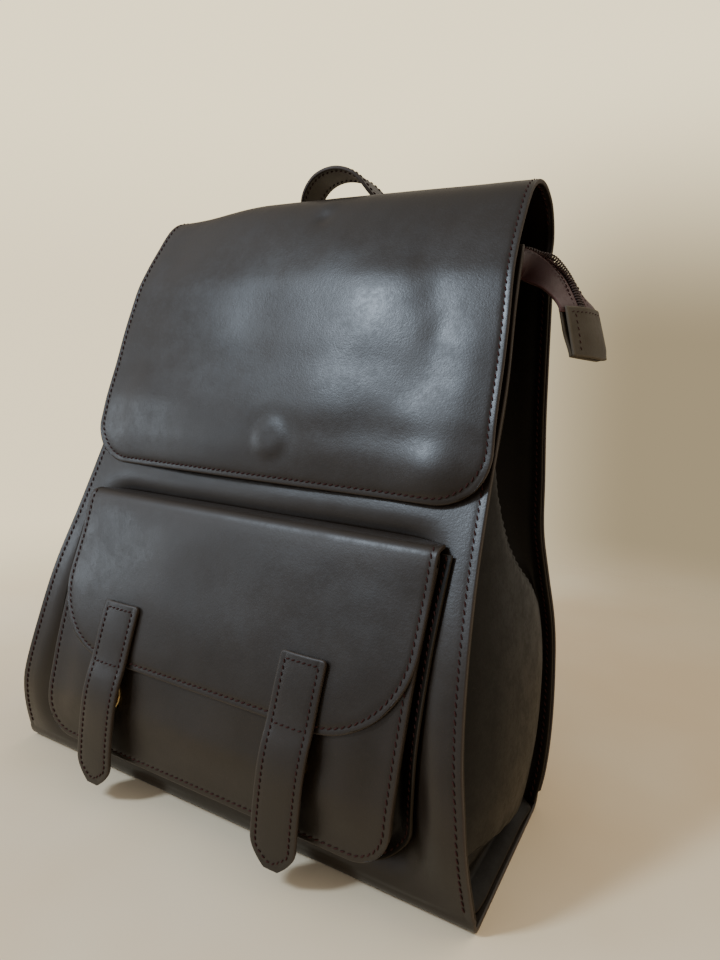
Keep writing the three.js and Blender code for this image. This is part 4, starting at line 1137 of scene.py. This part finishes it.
def area_light(name, direction, height, size, power, color):
    """A soft window, 1.4 m from a point above the middle of the floor. The camera doesn't see it."""
    light = add_light(name, "AREA", direction, power, color, shape="RECTANGLE", size=size[0], size_y=size[1])
    light.location = Vector((0, 0, height)) + Vector(direction).normalized() * 1.4
    light.visible_camera = False


def studio_air():
    """Soft light all round, cool from the front left and dim and warm from the right, before a cream backdrop with a
    painted shadow of the bag low on its right.
    """
    world = bpy.data.worlds.new("studio")
    world.use_nodes = True
    air = Nodes(world.node_tree)
    air.tree.nodes.clear()
    place = air.add("TexCoord").outputs["Generated"]

    def toward(direction, low, high):
        dot = air.add("VectorMath", {"operation": "DOT_PRODUCT"}, i0=place, i1=direction)
        return air.ramp(dot.outputs["Value"], low, high)

    rear = air.mix(toward((0.5, 0.75, 0.42), -0.1, 0.7), (0.22, 0.17, 0.12, 1), (0.62, 0.55, 0.44, 1))
    light = air.mix(toward((-0.62, -0.55, 0.56), 0.42, 0.97), rear, (0.88, 0.86, 0.85, 1))
    backdrop = air.mix(toward((0, 0, -1), -0.32, -0.05), (1.8, 1.55, 1.0, 1), (1.5, 1.28, 0.84, 1))
    # Painted shadow: the backdrop that the camera sees darkens low on its right, where the bag's shadow falls on the
    # wall.
    painted_wall_shadow = air.times(toward((0.857, 0.516, 0), 0.02, 0.36), toward((0, 0, -1), -0.36, -0.02))
    backdrop = air.mix(painted_wall_shadow, backdrop, (0.42, 0.335, 0.20, 1))
    lit, seen = (air.add("Background", Color=color).outputs[0] for color in (light, backdrop))
    camera_ray = air.add("LightPath").outputs["Is Camera Ray"]
    air.add("OutputWorld", Surface=air.add("MixShader", i0=camera_ray, i1=lit, i2=seen).outputs[0])
    bpy.context.scene.world = world


def floor_material():
    """A pale plain cover, which fades into the backdrop away from the bag."""
    s = Shader("pale_floor", Roughness=0.9, Specular_IOR_Level=0.2)
    mottle = s.ramp(s.noise(6, 3, 0.5), 0.3, 0.7)
    relief = s.relief(s.noise(30, 2, 0.5), 0.0006, 0.3)
    s.finish(s.mix(mottle, (0.80, 0.64, 0.43, 1), (0.84, 0.71, 0.51, 1)), None, relief)
    away = s.add("VectorMath", {"operation": "LENGTH"}, i0=s.place).outputs["Value"]
    clear = s.add("BsdfTransparent").outputs[0]
    both = s.add("MixShader", i0=s.ramp(away, 0.20, 0.75), i1=s.surface.outputs[0], i2=clear)
    out = next(n for n in s.tree.nodes if n.type == "OUTPUT_MATERIAL")
    s.tree.links.new(both.outputs[0], out.inputs["Surface"])
    return s.material


def add_stage():
    data = bpy.data.meshes.new("floor")
    data.from_pydata([(-4, -4, 0), (4, -4, 0), (4, 4, 0), (-4, 4, 0)], [], [(0, 1, 2, 3)])
    data.materials.append(floor_material())
    added("floor", data)
    add_light("daylight", "SUN", (0.35, 0.45, 0.82), 0.7, (1.0, 0.93, 0.83), angle=math.radians(50))
    area_light("window", (-0.42, -0.63, 0.65), 0.2, (0.17, 0.32), 15.0, (0.70, 0.84, 1.0))
    area_light("side_window", (-0.82, -0.53, 0.21), 0.15, (0.34, 0.34), 2.2, (0.74, 0.87, 1.0))
    studio_air()


add_stage()
